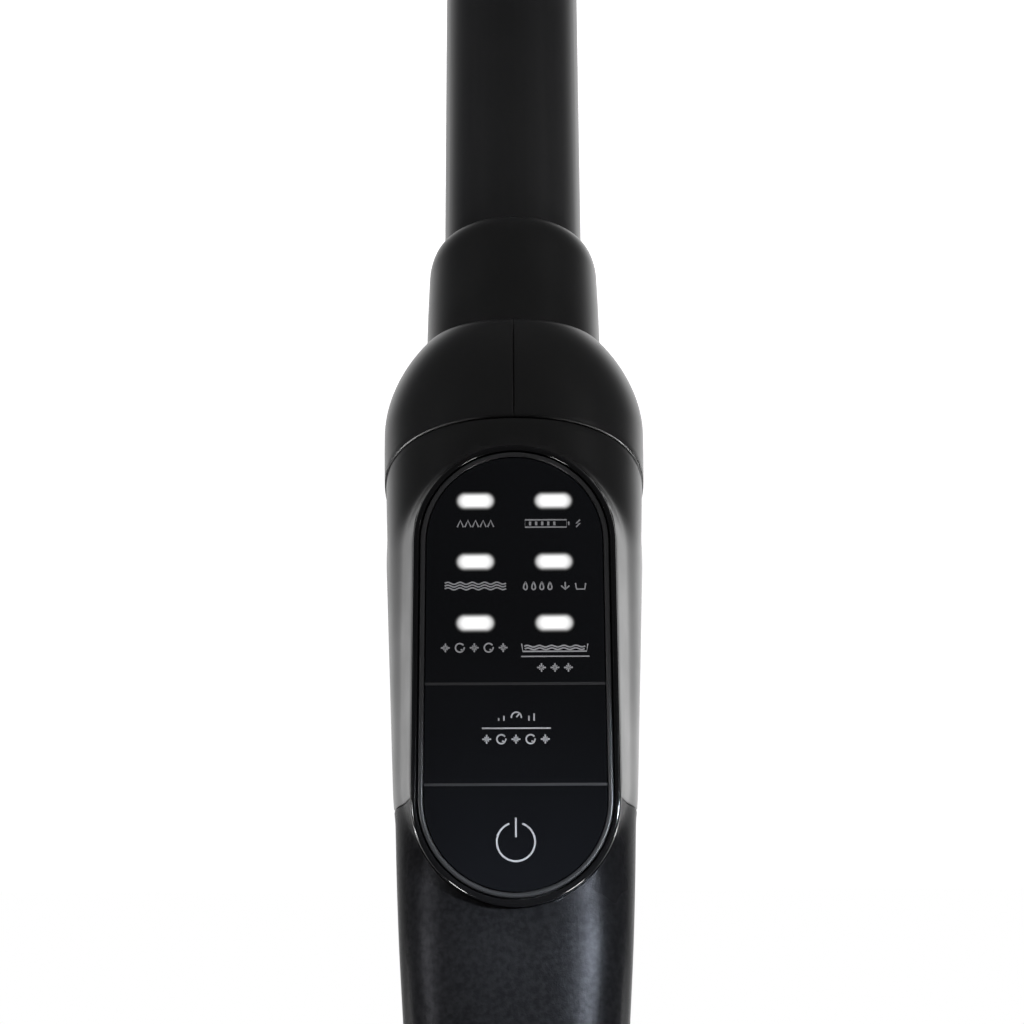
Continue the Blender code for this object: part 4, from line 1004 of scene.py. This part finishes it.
def screw(name, centre, along, body, radius=3.2, out=1.0):
    """A pan-head screw whose cross recess is a raised near-black cross of painted shade; out is the way
    its head faces.
    """
    shape = ((-0.6, 0), (-0.6, radius), (0.4, radius), (0.9, radius * 0.82), (1.15, radius * 0.5),
             (1.2, 0))
    turned(name, [(at * MM * out, r * MM) for at, r in shape], Vector(centre) * MM, along, body,
           STEEL, sides=32, sharp=40.0)
    axis = "XYZ".index(along)
    middle = list(centre)
    middle[axis] += 1.18 * out
    # the cross recess is painted shade: near-black slabs standing on the head
    for turn, wide in enumerate(i for i in range(3) if i != axis):
        half = [0.22, 0.22, 0.22]
        half[wide] = radius * 0.55
        half[axis] = 0.12
        slab(f"{name}_cross_{turn + 1}", [m - h for m, h in zip(middle, half)],
             [m + h for m, h in zip(middle, half)], 0.05, body, PAINTED_GAP_SHADE)


def smoothing_group():
    """A node group that shades smoothly except across sharp edges."""
    group = bpy.data.node_groups.new("smooth_by_angle", "GeometryNodeTree")
    for way in ("INPUT", "OUTPUT"):
        group.interface.new_socket("Geometry", in_out=way, socket_type="NodeSocketGeometry")
    start, plain, faces, edges, end, angle, limit = [group.nodes.new(kind) for kind in (
        "NodeGroupInput", "GeometryNodeRemoveAttribute", "GeometryNodeSetShadeSmooth",
        "GeometryNodeSetShadeSmooth", "NodeGroupOutput", "GeometryNodeInputMeshEdgeAngle",
        "FunctionNodeCompare")]
    plain.inputs["Name"].default_value = "custom_normal"
    edges.domain = "EDGE"
    edges.inputs["Shade Smooth"].default_value = False
    limit.operation = "GREATER_THAN"
    limit.inputs[1].default_value = math.radians(33.0)
    for source, target in ((start, plain), (plain, faces), (faces, edges), (edges, end)):
        group.links.new(source.outputs["Geometry"], target.inputs["Geometry"])
    group.links.new(angle.outputs["Unsigned Angle"], limit.inputs[0])
    group.links.new(limit.outputs["Result"], edges.inputs["Selection"])
    return group


SMOOTHING = smoothing_group()


def carry(name, finish, width):
    """A CAD node kept in the picture: its finish and softened edges."""
    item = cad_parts[name]
    item.data.materials.clear()
    item.data.materials.append(finish)
    weld = item.modifiers.new("weld", "WELD")
    weld.merge_threshold = 0.00001
    if width:
        soften = item.modifiers.new("soft_edges", "BEVEL")
        soften.width = width * MM
        soften.segments = 3
        soften.limit_method = "ANGLE"
        soften.angle_limit = math.radians(32.0)
        soften.use_clamp_overlap = True
    shade = item.modifiers.new("smooth_by_angle", "NODES")
    shade.node_group = SMOOTHING


# ---------------------------------------------------------------- body, tanks and head

SOCKET_RADIUS = millimetre_box("pole_socket")[1][0]
POD_CORNER = 42.0
TANK_CORNER = 39.0
REAR_CORNER = 8.0
COVER_WALL = 2.5


def make_top_cover():
    """The sloping cover round the pole's foot, as one smooth shell."""
    low, high = millimetre_box("body_top_cover")
    bottom, tall = low[2], high[2] - low[2]
    stations = ((0.0, high[0], low[1], high[1], 42.0, 20.0),
                (-1.5, high[0], low[1] + 0.2, high[1], 42.0, 20.0),
                (-12.0, high[0] - 1.5, low[1] + 5.0, high[1] - 1.0, 40.0, 21.0),
                (-32.0, 47.0, -66.0, high[1] - 3.0, 34.0, 23.0),
                (-52.0, 32.0, -24.0, high[1] - 4.0, 27.0, 24.0),
                (0.8 - tall, 26.9, -8.6, POLE_Y + 26.9, 25.2, 24.8))
    levels = []
    for step in range(49):
        up = (tall - 0.8) * step / 48
        levels.append((up, 0.0, *eased(stations, -up)))
    levels.append((tall, 0.9, *stations[-1][1:]))
    points = []
    for up, inset, *shape in levels:
        points += rounded_ring(shape, inset, bottom + up)
    columns = len(points) // len(levels)
    rim = points[-columns:]
    for z in (high[2], high[2] - 4.0):
        for point in rim:
            away = Vector((point[0], point[1] - POLE_Y)).normalized() * (SOCKET_RADIUS + 0.6)
            points.append((away.x, POLE_Y + away.y, z))
    for up, _, *shape in levels[:-1][::-6]:
        points += rounded_ring(shape, COVER_WALL, bottom + max(0.0, up - 3.5))
    faces = ring_faces(len(points) // columns, columns)
    add_mesh("body_top_cover_fine", [Vector(point) * MM for point in points], faces, "upper_body",
             CASING, ("body_top_cover",), sharp=40.0)


def rounded_ring(shape, inset, z):
    """One level of the top cover as (x, y, z) points."""
    half, front, rear, near, far = shape
    outline = rounded_outline((inset - half, front + inset), (half - inset, rear - inset),
                              near - inset, far - inset)
    return [(x, y, z) for x, y in outline]


def make_vents():
    """A grille of lips over a near-black sheet of painted shade on each side of the motor housing."""
    wall = millimetre_box("motor_housing")[1][0]
    for side, word in SIDES:
        x = side * wall

        def across(first, second):
            """Two places near the wall, the lower one first."""
            return sorted((x + side * first, x + side * second))

        # near-black sheet behind the slots: painted shade of the housing's inside
        inner, outer = across(-3.4, -2.9)
        slab(f"vent_painted_shade_{word}", (inner, -48.0, 496.0), (outer, -12.0, 541.0), 0.2,
             "upper_body", PAINTED_GAP_SHADE)
        inner, outer = across(-2.6, -0.9)
        slab_row(f"vent_rib_{word}", 5, (0.0, 6.0, 0.0), (inner, -42.6, 499.0), (outer, -41.4, 538.0),
            0.3, "upper_body", CASING)
        inner, outer = across(0.02, 0.5)
        for slot in range(4):
            z = 500.0 + 11.0 * slot
            for upper, foot in enumerate((z - 0.9, z + 4.1)):
                slab(f"vent_lip_{word}_{slot + 1}_{upper}", (inner, -47.0, foot),
                     (outer, -13.0, foot + 0.8), 0.2, "upper_body", CASING)


def make_body_details():
    """Bands, ribs and screws on the body."""
    low, high = millimetre_box("motor_housing")
    band("pod_lower_band", low, high, POD_CORNER, raised(low[2] + 4.0, low[2] + 8.0, 0.1, 0.45, 0.3),
         0.9, "upper_body", TRIM)
    # the groove is a faintly raised near-black band: painted shade
    band("pod_upper_groove", low, high, POD_CORNER,
         raised(high[2] - 8.0, high[2] - 7.2, 0.06, 0.12, 0.1), 0.5, "upper_body", PAINTED_GAP_SHADE)
    make_vents()
    rear = millimetre_box("body_spine")[1][1]
    for index, (x, z) in enumerate(((-36.0, 584.0), (36.0, 584.0), (-36.0, 456.0), (36.0, 456.0))):
        screw(f"spine_screw_{index + 1}", (x, rear - 0.2, z), "Y", "upper_body")
    slab("spine_inset", (-27.0, rear - 0.2, 474.0), (27.0, rear + 0.35, 566.0), 0.25, "upper_body",
         TRIM)
    slab_row("spine_inset_rib", 7, (0.0, 0.0, 12.6), (-22.0, rear + 0.3, 481.3),
        (22.0, rear + 0.9, 482.7), 0.25, "upper_body", CASING)
    radius = SOCKET_RADIUS + 0.35
    shape = ((-0.5, -0.9), (-0.5, -0.2), (-0.3, 0.0), (0.3, 0.0), (0.5, -0.2), (0.5, -0.9))
    for index in range(3):
        profile = [((662.5 + 3.0 * index + up) * MM, (radius + out) * MM) for up, out in shape]
        turned(f"socket_ring_{index + 1}", profile, (0.0, POLE_Y * MM, 0.0), "Z", "upper_body",
               CASING)
    low = millimetre_box("pole_release_button")[0]
    slab_row("release_ridge", 3, (0.0, 0.0, 3.5), (-4.2, low[1] - 0.35, low[2] + 3.5),
        (4.2, low[1] + 0.3, low[2] + 4.5), 0.2, "pole_release", ACCENT)


def make_dirty_tank_details():
    """Gasket, bands, level marks and latch ridges on the dirty water tank."""
    body, slot = "dirty_water_tank", "inner_grey"
    low, high = millimetre_box("dirty_tank")
    band("tank_gasket", low, high, TANK_CORNER,
         ((-1.2, high[2] - 0.6), (-0.25, high[2] - 0.2), (-0.25, high[2] + 1.0), (-1.2, high[2] + 1.3)),
         1.6, body, RUBBER)
    band("tank_foot_band", low, high, TANK_CORNER,
         raised(low[2] + 5.0, low[2] + 9.0, 0.05, 0.4, 0.3), 0.8, body, INNER)
    lid_low, lid_high = millimetre_box("dirty_tank_lid")
    # the lid groove is a faintly raised near-black band: painted shade
    band("lid_groove", lid_low, lid_high, TANK_CORNER,
         raised(lid_low[2] + 5.0, lid_low[2] + 5.8, 0.05, 0.14, 0.1), 0.5, body, PAINTED_GAP_SHADE)
    outer, inner = low[1] - 0.25, low[1] + 0.3
    slab("full_mark_line", (-11.0, outer, 352.0), (11.0, inner, 352.9), 0.15, body, PRINT)
    slab_row("level_tick", 4, (0.0, 0.0, 30.0), (-4.0, outer, 215.0), (4.0, inner, 215.7), 0.15, body,
        PRINT)
    low = millimetre_box("dirty_tank_latch")[0]
    slab_row("dirty_latch_ridge", 3, (0.0, 0.0, 3.4), (-8.0, low[1] - 0.4, low[2] + 2.7),
        (8.0, low[1] + 0.3, low[2] + 3.7), 0.2, "dirty_latch", ACCENT)


def make_filter():
    """The pleated filter as a ring."""
    low, high = node_box("dirty_filter")
    centre, pleats = (low + high) / 2, 160
    levels = ((low.z, 0.0), (low.z + 0.6 * MM, 1.0), (high.z - 0.6 * MM, 1.0), (high.z, 0.0))
    rings = [(z, True, full) for z, full in levels] + [(z, False, full) for z, full in levels[::-1]]
    points = []
    for z, outer, full in rings:
        for step in range(pleats):
            angle = 2 * math.pi * step / pleats
            wave = 0.9 * MM * (step % 2) * full
            radius = (high.x - low.x) / 2 - 0.2 * MM - wave if outer else 11.2 * MM + wave
            points.append(Vector((centre.x + radius * math.cos(angle),
                                  centre.y + radius * math.sin(angle), z)))
    add_mesh("dirty_filter_pleated", points, ring_faces(len(rings), pleats), "dirty_water_tank",
             FILTER, ("dirty_filter",), sharp=20.0)


def make_cap_knurl():
    """The knurled band round the clean tank's cap."""
    low, high = millimetre_box("clean_tank_cap")
    centre = ((low[0] + high[0]) / 2, (low[1] + high[1]) / 2)
    radius, columns = (high[0] - low[0]) / 2, 160
    rows = ((9.0, 0.0), (9.6, 1.0), (15.4, 1.0), (16.0, 0.0))
    points = []
    for up, full in rows:
        for column in range(columns):
            angle = 2 * math.pi * column / columns
            swell = (0.2, 0.65, 0.65, 0.2)[column % 4] * full
            points.append(Vector((centre[0] + (radius + swell) * math.cos(angle),
                                  centre[1] + (radius + swell) * math.sin(angle), low[2] + up)) * MM)
    add_mesh("cap_knurl", points, loft_faces(len(rows), columns), "clean_cap", INNER)


def make_clean_tank_details():
    """Grip ribs, level marks, a foot and latch ridges on the clean water tank."""
    body = "clean_water_tank"
    low, high = millimetre_box("clean_tank")
    for side, word in SIDES:
        inner, outer = sorted((side * (high[0] - 0.3), side * (high[0] + 0.45)))
        slab_row(f"clean_grip_rib_{word}", 5, (0.0, 0.0, 28.0), (inner, 68.0, 240.0),
            (outer, 96.0, 242.0), 0.35, body, CLEAR_CLEAN)
    inner, outer = high[1] - 0.3, high[1] + 0.25
    slab("clean_full_mark", (-13.0, inner, 392.0), (13.0, outer, 392.9), 0.15, body, PRINT)
    slab_row("clean_tick", 4, (0.0, 0.0, 36.0), (-4.5, inner, 230.0), (4.5, outer, 230.7), 0.15, body,
        PRINT)
    slab("clean_foot", (-44.0, low[1] + 5.0, low[2] - 2.0), (44.0, high[1] - 12.0, low[2] + 0.4), 0.8,
         body, INNER)
    make_cap_knurl()
    low, high = millimetre_box("clean_tank_latch")
    slab_row("clean_latch_ridge", 4, (0.0, 0.0, 4.0), (-9.0, high[1] - 0.3, low[2] + 4.4),
        (9.0, high[1] + 0.4, low[2] + 5.6), 0.25, "clean_latch", ACCENT)


PILE_RADIUS = 0.02765
SLEEVE_BORE = 0.0203
BAND_TURNS = 3
BAND_TWIST = 95.0
BAND_EDGE = 0.80


def band_wave(angle, along):
    """1 in the middle of a slanting band of the roller, less beside it."""
    return math.cos(angle * BAND_TURNS + along * BAND_TWIST)


def make_roller():
    """The pile roller with its slanting bands, closed through its bore."""
    low, high = node_box("brush_roller_sleeve")
    middle = (low + high) / 2
    rows, columns = 150, 180
    points = []
    for row in range(rows + 3):
        x = low.x if row == rows + 2 else low.x + (high.x - low.x) * min(row, rows) / rows
        crown = 0.0014 * max(0.0, 1 - min(row, rows - row) / 2.0)
        for column in range(columns):
            angle = 2 * math.pi * column / columns
            groove = max(0.0, band_wave(angle, x - low.x) - BAND_EDGE) / (1 - BAND_EDGE)
            tuft = 0.00022 * math.sin(column * 12.9898 + row * 78.233) * math.sin(row * 3.7 + column)
            r = SLEEVE_BORE if row > rows else PILE_RADIUS - crown - 0.0011 * groove + tuft
            points.append(Vector((x, middle.y + r * math.cos(angle), middle.z + r * math.sin(angle))))
    sleeve = add_mesh("roller_pile_fine", points, ring_faces(rows + 3, columns), "roller", PILE,
                      ("brush_roller_sleeve",), sharp=60.0)
    sleeve.data.materials.append(PILE_DARK)
    for face in sleeve.data.polygons:
        angle = math.atan2(face.center.z - middle.z, face.center.y - middle.y)
        if band_wave(angle, face.center.x - low.x) > BAND_EDGE:
            face.material_index = 1


def make_end_cap():
    """The roller's end cap with its grip bar."""
    low, high = node_box("brush_roller_sleeve")
    middle = (low + high) / 2
    low, high = node_box("roller_end_cap")
    rim = ((0.0029, 0.0165), (0.0027, 0.0236), (0.0023, 0.0239), (0.0012, 0.0238), (0.0004, 0.0228),
           (0.0001, 0.0218), (0.0001, 0.0195), (0.0009, 0.019), (0.0009, 0))
    profile = [(low.x, 0), (low.x, 0.0165)] + [(high.x - back, radius) for back, radius in rim]
    turned("roller_end_cap_fine", profile, (0.0, middle.y, middle.z), "X", "head", CASING,
           ("roller_end_cap",), sharp=35.0)
    x, y, z = high.x / MM, middle.y / MM, middle.z / MM
    slab("end_cap_bar", (x - 1.2, y - 15.0, z - 3.0), (x, y + 15.0, z + 3.0), 0.7, "head", ACCENT)


def make_wheel(name, body, side):
    """A rear wheel: a treaded tyre round a spoked hub."""
    low, high = node_box(name)
    centre = (low + high) / 2
    half, radius = (high.x - low.x) / 2, (high.z - low.z) / 2 + 0.0001
    across = (-1.0, -0.94, -0.78, -0.3, -0.26, 0.26, 0.3, 0.78, 0.94, 1.0)
    rows = [(at, False) for at in across] + [(at, True) for at in (1.0, 0.8, -0.8, -1.0)]
    columns = 36 * 6
    points = []
    for at, inside in rows:
        for column in range(columns):
            open_gap = (column + (3 if at > 0 else 0)) % 6 in (0, 1)
            if inside:
                r = radius * (0.70 if abs(at) == 1.0 else 0.66)
            elif abs(at) < 0.28 or (open_gap and abs(at) < 0.93):
                r = radius - 0.0009
            else:
                r = radius - (0.0018 if abs(at) == 1.0 else 0.0004 if abs(at) > 0.9 else 0.0)
            angle = 2 * math.pi * column / columns
            points.append(centre + Vector((at * half, r * math.cos(angle), r * math.sin(angle))))
    add_mesh(f"{name}_tyre", points, ring_faces(len(rows), columns), body, RUBBER,
             (name,), sharp=25.0)
    r = radius * 0.69
    profile = ((-0.75, 0.0033), (-0.75, r), (0.75, r), (0.75, r * 0.86), (0.45, r * 0.82),
               (0.45, r * 0.42), (0.8, r * 0.36), (0.8, 0.0033))
    turned(f"{name}_hub", [(along * half * side, size) for along, size in profile], centre, "X",
           body, INNER)
    out = side * half
    for spoke in range(6):
        angle = math.radians(60 * spoke)
        along = Vector((0.0, math.cos(angle), math.sin(angle)))
        wide = Vector((0.0, -math.sin(angle), math.cos(angle))) * 0.0012
        points = [centre + Vector((x, 0, 0)) + along * distance + wide * way
                  for x in (out * 0.40, out * 0.72) for distance in (r * 0.34, r * 0.86)
                  for way in (-1, 1)]
        faces = [(0, 1, 3, 2), (4, 5, 7, 6), (0, 1, 5, 4), (2, 3, 7, 6), (0, 2, 6, 4), (1, 3, 7, 5)]
        add_mesh(f"{name}_spoke_{spoke + 1}", points, faces, body, ACCENT)


def make_hose():
    """The ribbed hose through the yoke, with its ball end in the duct."""
    low, high = node_box("neck_hose")
    centre = (low + high) / 2
    pivot_z, ball, hose, bore = low.z + 0.0147, 0.017, 0.014, 0.011
    profile = []
    for step in range(25):
        angle = math.radians(-60 + 100 * step / 24)
        profile.append((pivot_z + ball * math.sin(angle),
                        max(bore + 0.0008, ball * math.cos(angle) - 0.0001)))
    top, pitch = pivot_z + 0.0135, 0.0036
    for rib in range(int((high.z - top - 0.003) / pitch)):
        for share, depth in ((0.0, 0.0012), (0.25, 0.0003), (0.5, 0.0), (0.75, 0.0003)):
            profile.append((top + pitch * (rib + share), hose - depth))
    profile += [(high.z - 0.003, hose - 0.0005), (high.z, hose - 0.0005), (high.z, bore),
                (profile[0][0], bore)]
    turned("neck_hose_ribbed", profile, (centre.x, centre.y, 0.0), "Z", "neck", HOSE,
           ("neck_hose",), sharp=50.0)


def make_head_details():
    """Grooves, catches, contacts, fasteners and ribs on the head."""
    low, high = millimetre_box("head_top_cover")
    top = high[2]
    for index, (x0, x1) in enumerate(((low[0] + 12.0, -64.0), (64.0, high[0] - 12.0))):
        slab(f"cover_rail_{index + 1}", (x0, -52.0, top - 0.3), (x1, 46.0, top + 0.35), 0.3, "head",
             TRIM)
        slab_row(f"cover_rib_{index + 1}", 4, (0.0, 18.0, 0.0), (x0 + 6.0, -34.8, top + 0.2),
            (x1 - 6.0, -33.2, top + 0.9), 0.3, "head", CASING)
    # a thin near-black slab standing in for a groove: painted shade
    slab("cover_front_line", (low[0] + 14.0, low[1] + 4.6, top - 0.35),
         (high[0] - 14.0, low[1] + 5.6, top + 0.12), 0.1, "head", PAINTED_GAP_SHADE)
    slab_row("window_catch", 2, (168.0, 0.0, 0.0), (-93.0, -70.5, top - 1.0), (-75.0, -58.0, top + 1.4),
        0.8, "head", ACCENT)
    back = millimetre_box("charging_contact_block")[1][1]
    shape = [(-0.0008, 0), (-0.0008, 0.0042), (0.0002, 0.0042), (0.0006, 0.0036), (0.0006, 0)]
    for index, x in enumerate((-14.0, 14.0)):
        turned(f"charging_contact_{index + 1}", shape, Vector((x, back, 24.0)) * MM, "Y", "head",
               GOLD, sides=48)
    under = millimetre_box("head_chassis")[0][2]
    spots = ((-88.0, -44.0), (88.0, -44.0), (-70.0, 58.0), (70.0, 58.0), (0.0, -40.0), (0.0, 60.0))
    for index, (x, y) in enumerate(spots):
        screw(f"chassis_screw_{index + 1}", (x, y, under + 0.2), "Z", "head", out=-1.0)
    slab_row("chassis_rib", 6, (25.0, 0.0, 0.0), (-63.3, -30.0, under - 0.8), (-61.7, 48.0, under + 0.2),
        0.3, "head", INNER)
    side = millimetre_box("belt_cover")[0][0]
    for index, (y, z) in enumerate(((-108.0, 18.0), (-108.0, 39.0), (-16.0, 18.0), (-16.0, 39.0))):
        slab(f"belt_cover_cap_{index + 1}", (side, y - 2.4, z - 2.4), (side + 0.6, y + 2.4, z + 2.4),
             0.25, "head", INNER)
    low, high = millimetre_box("roller_cover")
    slab("window_lip", (low[0] + 0.4, high[1] - 3.0, high[2] - 2.6),
         (high[0] - 0.4, high[1] - 0.4, high[2] - 0.1), 0.6, "roller_window", CASING)


FINISHES = {
    "shell_black": CASING, "grip_black": GRIP, "tube_black": TUBE, "bezel_black": BEZEL,
    "panel_glass": GLASS, "circuit_green": CIRCUIT, "screw_steel": STEEL, "clear_smoke": CLEAR,
    "inner_grey": INNER, "motor_metal": MOTOR, "battery_wrap": BATTERY, "filter_white": FILTER,
    "seal_rubber": RUBBER, "roller_fabric": PILE, "hose_grey": HOSE,
}
CARRIED = {
    "shell_black": ("pole_socket", "body_spine", "motor_housing", "tank_cradle",
                    "neck_yoke", "head_top_cover", "belt_cover"),
    "inner_grey": ("pole_release_button", "water_pump", "suction_impeller", "dirty_tank_lid",
                   "dirty_tank_latch", "clean_tank_cap", "clean_tank_valve", "clean_tank_latch",
                   "head_chassis", "brush_roller_core", "roller_pulley", "motor_pulley",
                   "spray_bar", "head_duct", "charging_contact_block"),
    "motor_metal": ("suction_motor", "brush_motor", "swivel_ring"),
    "battery_wrap": ("battery_pack",), "filter_white": ("dirty_float",),
    "circuit_green": ("main_circuit_board", "panel_circuit_board"),
    "screw_steel": ("handle_screw", "pivot_pin_left", "pivot_pin_right", "wheel_axle"),
    "seal_rubber": ("front_bumper", "drive_belt", "squeegee_strip"),
    "clear_smoke": ("dirty_tank", "clean_tank", "roller_cover"),
}


def carry_nodes():
    """Finishes and soft edges for every CAD node that stays in the picture."""
    for slot, names in CARRIED.items():
        for name in names:
            clear = slot == "clear_smoke"
            finish = CLEAR_CLEAN if name == "clean_tank" else FINISHES[slot]
            carry(name, finish, 0.0 if clear else 0.5)


def make_machine():
    """Everything below the handle."""
    carry_nodes()
    make_top_cover()
    make_body_details()
    make_dirty_tank_details()
    make_filter()
    make_clean_tank_details()
    make_roller()
    make_end_cap()
    make_wheel("rear_wheel_left", "wheel_left", -1)
    make_wheel("rear_wheel_right", "wheel_right", 1)
    make_hose()
    make_head_details()


make_machine()

# ---------------------------------------------------------------- camera, light and ground

CAMERA_TILT = math.radians(16.7)
CAMERA_BACK = 0.3832
LENS = 63.3
SENSOR = 36.0
CAMERA_ROLL = -0.25
CAMERA_SIDE = -0.00047
VIEW_AXIS = Vector((0.0, -math.cos(CAMERA_TILT), -math.sin(CAMERA_TILT)))


def make_camera():
    """The camera looks down the pole from the user's side, with the grip at the foot."""
    data = bpy.data.cameras.new("view")
    data.lens = LENS
    data.sensor_width = SENSOR
    data.clip_start = 0.01
    item = new_object("view", data)
    target = place(0.0, 0.0, 0.0)
    up = Vector((0.0, math.sin(CAMERA_TILT), -math.cos(CAMERA_TILT)))
    right = VIEW_AXIS.cross(up)
    turn = Matrix((right, up, -VIEW_AXIS)).transposed().to_4x4()
    roll = Matrix.Rotation(math.radians(CAMERA_ROLL), 4, "Z")
    item.matrix_world = Matrix.Translation(target - VIEW_AXIS * CAMERA_BACK) @ turn @ roll
    item.location += right * CAMERA_SIDE
    bpy.context.scene.camera = item


WORLD_LEFT = 1.15
WORLD_RIGHT = 1.75
# how far round to the back, and how bright there
WORLD_STEPS = ((0.0, 0.04), (0.5, 0.04), (0.66, 0.07), (0.76, 0.24), (0.84, 0.64), (0.91, 1.0),
               (1.0, 1.0))


def make_world():
    """White behind the object, dark towards the user, plain white to the camera."""
    world = bpy.data.worlds.new("studio")
    bpy.context.scene.world = world
    world.use_nodes = True
    world.node_tree.nodes.clear()
    where = node(world, "ShaderNodeTexCoord")
    dot = node(world, "ShaderNodeVectorMath", operation="DOT_PRODUCT")
    dot.inputs[1].default_value = VIEW_AXIS
    half = node(world, "ShaderNodeMath", operation="MULTIPLY_ADD")
    half.inputs[1].default_value = 0.5
    half.inputs[2].default_value = 0.5
    ramp = node(world, "ShaderNodeValToRGB")
    marks = ramp.color_ramp.elements
    for at, _ in WORLD_STEPS[1:-1]:
        marks.new(at)
    for mark, (at, value) in zip(marks, WORLD_STEPS):
        mark.position = at
        mark.color = (value, value, value, 1.0)
    apart = node(world, "ShaderNodeSeparateXYZ")
    sides = node(world, "ShaderNodeMapRange", **{"From Min": -0.5, "From Max": 0.5,
                                                 "To Min": WORLD_LEFT, "To Max": WORLD_RIGHT})
    lit = node(world, "ShaderNodeBackground")
    plain = node(world, "ShaderNodeBackground", Color=WHITE)
    path = node(world, "ShaderNodeLightPath")
    mix = node(world, "ShaderNodeMixShader")
    out = node(world, "ShaderNodeOutputWorld")
    for joint in ((where, "Generated", dot, 0), (dot, "Value", half, 0), (half, "Value", ramp, "Fac"),
                  (where, "Generated", apart, 0), (apart, "X", sides, "Value"),
                  (ramp, "Color", lit, "Color"), (sides, "Result", lit, "Strength"),
                  (path, "Is Camera Ray", mix, "Fac"), (lit, "Background", mix, 1),
                  (plain, "Background", mix, 2), (mix, "Shader", out, "Surface")):
        link(world, *joint)


def place_lamp(name, data, place_at, target, watts):
    """Puts a lamp in the scene, facing its target."""
    data.energy = watts
    item = new_object(name, data)
    item.location = place_at
    item.rotation_mode = "QUATERNION"
    item.rotation_quaternion = (Vector(target) - Vector(place_at)).to_track_quat("-Z", "Y")


def area_light(name, place_at, target, size, watts):
    """A soft square lamp that faces its target."""
    data = bpy.data.lights.new(name, "AREA")
    data.shape = "RECTANGLE"
    data.size = size
    data.size_y = size
    place_lamp(name, data, place_at, target, watts)


def spot_light(name, place_at, target, radius, watts, cone, colour=(1.0, 1.0, 1.0)):
    """A soft-edged spot that faces its target; the cone is in degrees."""
    data = bpy.data.lights.new(name, "SPOT")
    data.shadow_soft_size = radius
    data.color = colour
    data.spot_size = math.radians(cone)
    data.spot_blend = 1.0
    place_lamp(name, data, place_at, target, watts)


def make_lamps():
    """Spots for the handle and for the body, and soft lamps above."""
    grip, rear, panel = place(0.0, -87.5, 20.0), place(0.0, -125.0, 10.0), place(0.0, -40.0, 20.0)
    spot_light("lamp_right", grip + Vector((0.27, 0.54, -0.05)), grip, 0.03, 44.0, 5.0,
               (0.84, 0.92, 1.0))
    spot_light("lamp_left", grip + Vector((-0.46, 0.38, -0.04)), grip, 0.04, 4.0, 12.0)
    for side, word in SIDES:
        spot_light(f"lamp_rear_{word}", rear + Vector((side * 1.3, -0.7, 0.2)), rear, 0.1, 26.0, 13.0)
    for side, word in SIDES:
        area_light(f"lamp_up_{word}", panel + Vector((side * 0.56, 0.0, 0.75)), panel, 0.2, 6.0)
    for index, (x, y, z, watts) in enumerate(((1.3, 1.2, 0.55, 60.0), (-1.3, 1.0, 0.45, 36.0),
                                              (1.5, -0.9, 0.6, 40.0), (-1.6, -0.7, 0.5, 26.0))):
        spot_light(f"lamp_body_{index + 1}", (x, y, z), (0.0, 0.0, 0.28), 0.22, watts, 38.0)
    area_light("lamp_over", (0.4, -1.2, 2.6), (0.0, 0.0, 0.5), 1.4, 26.0)


def make_floor():
    """The pale floor, which glows a little so that it stays even."""
    size, low = 12.0, CAD_BOX[0][2]
    mesh = bpy.data.meshes.new("floor")
    mesh.from_pydata([(-size, -size, low), (size, -size, low), (size, size, low),
                      (-size, size, low)], [], [(0, 1, 2, 3)])
    floor = new_object("floor", mesh)
    pale = new_finish("floor_pale", (0.85, 0.85, 0.85), 0.9, Emission_Color=WHITE,
                      Emission_Strength=0.9)
    tint(pale, noise(pale, 1.5, 2.0), (0.84, 0.84, 0.84), (0.86, 0.86, 0.86))
    floor.data.materials.append(pale)
    floor.visible_glossy = False


make_camera()
make_world()
make_lamps()
make_floor()
bpy.context.scene.view_settings.view_transform = "Standard"
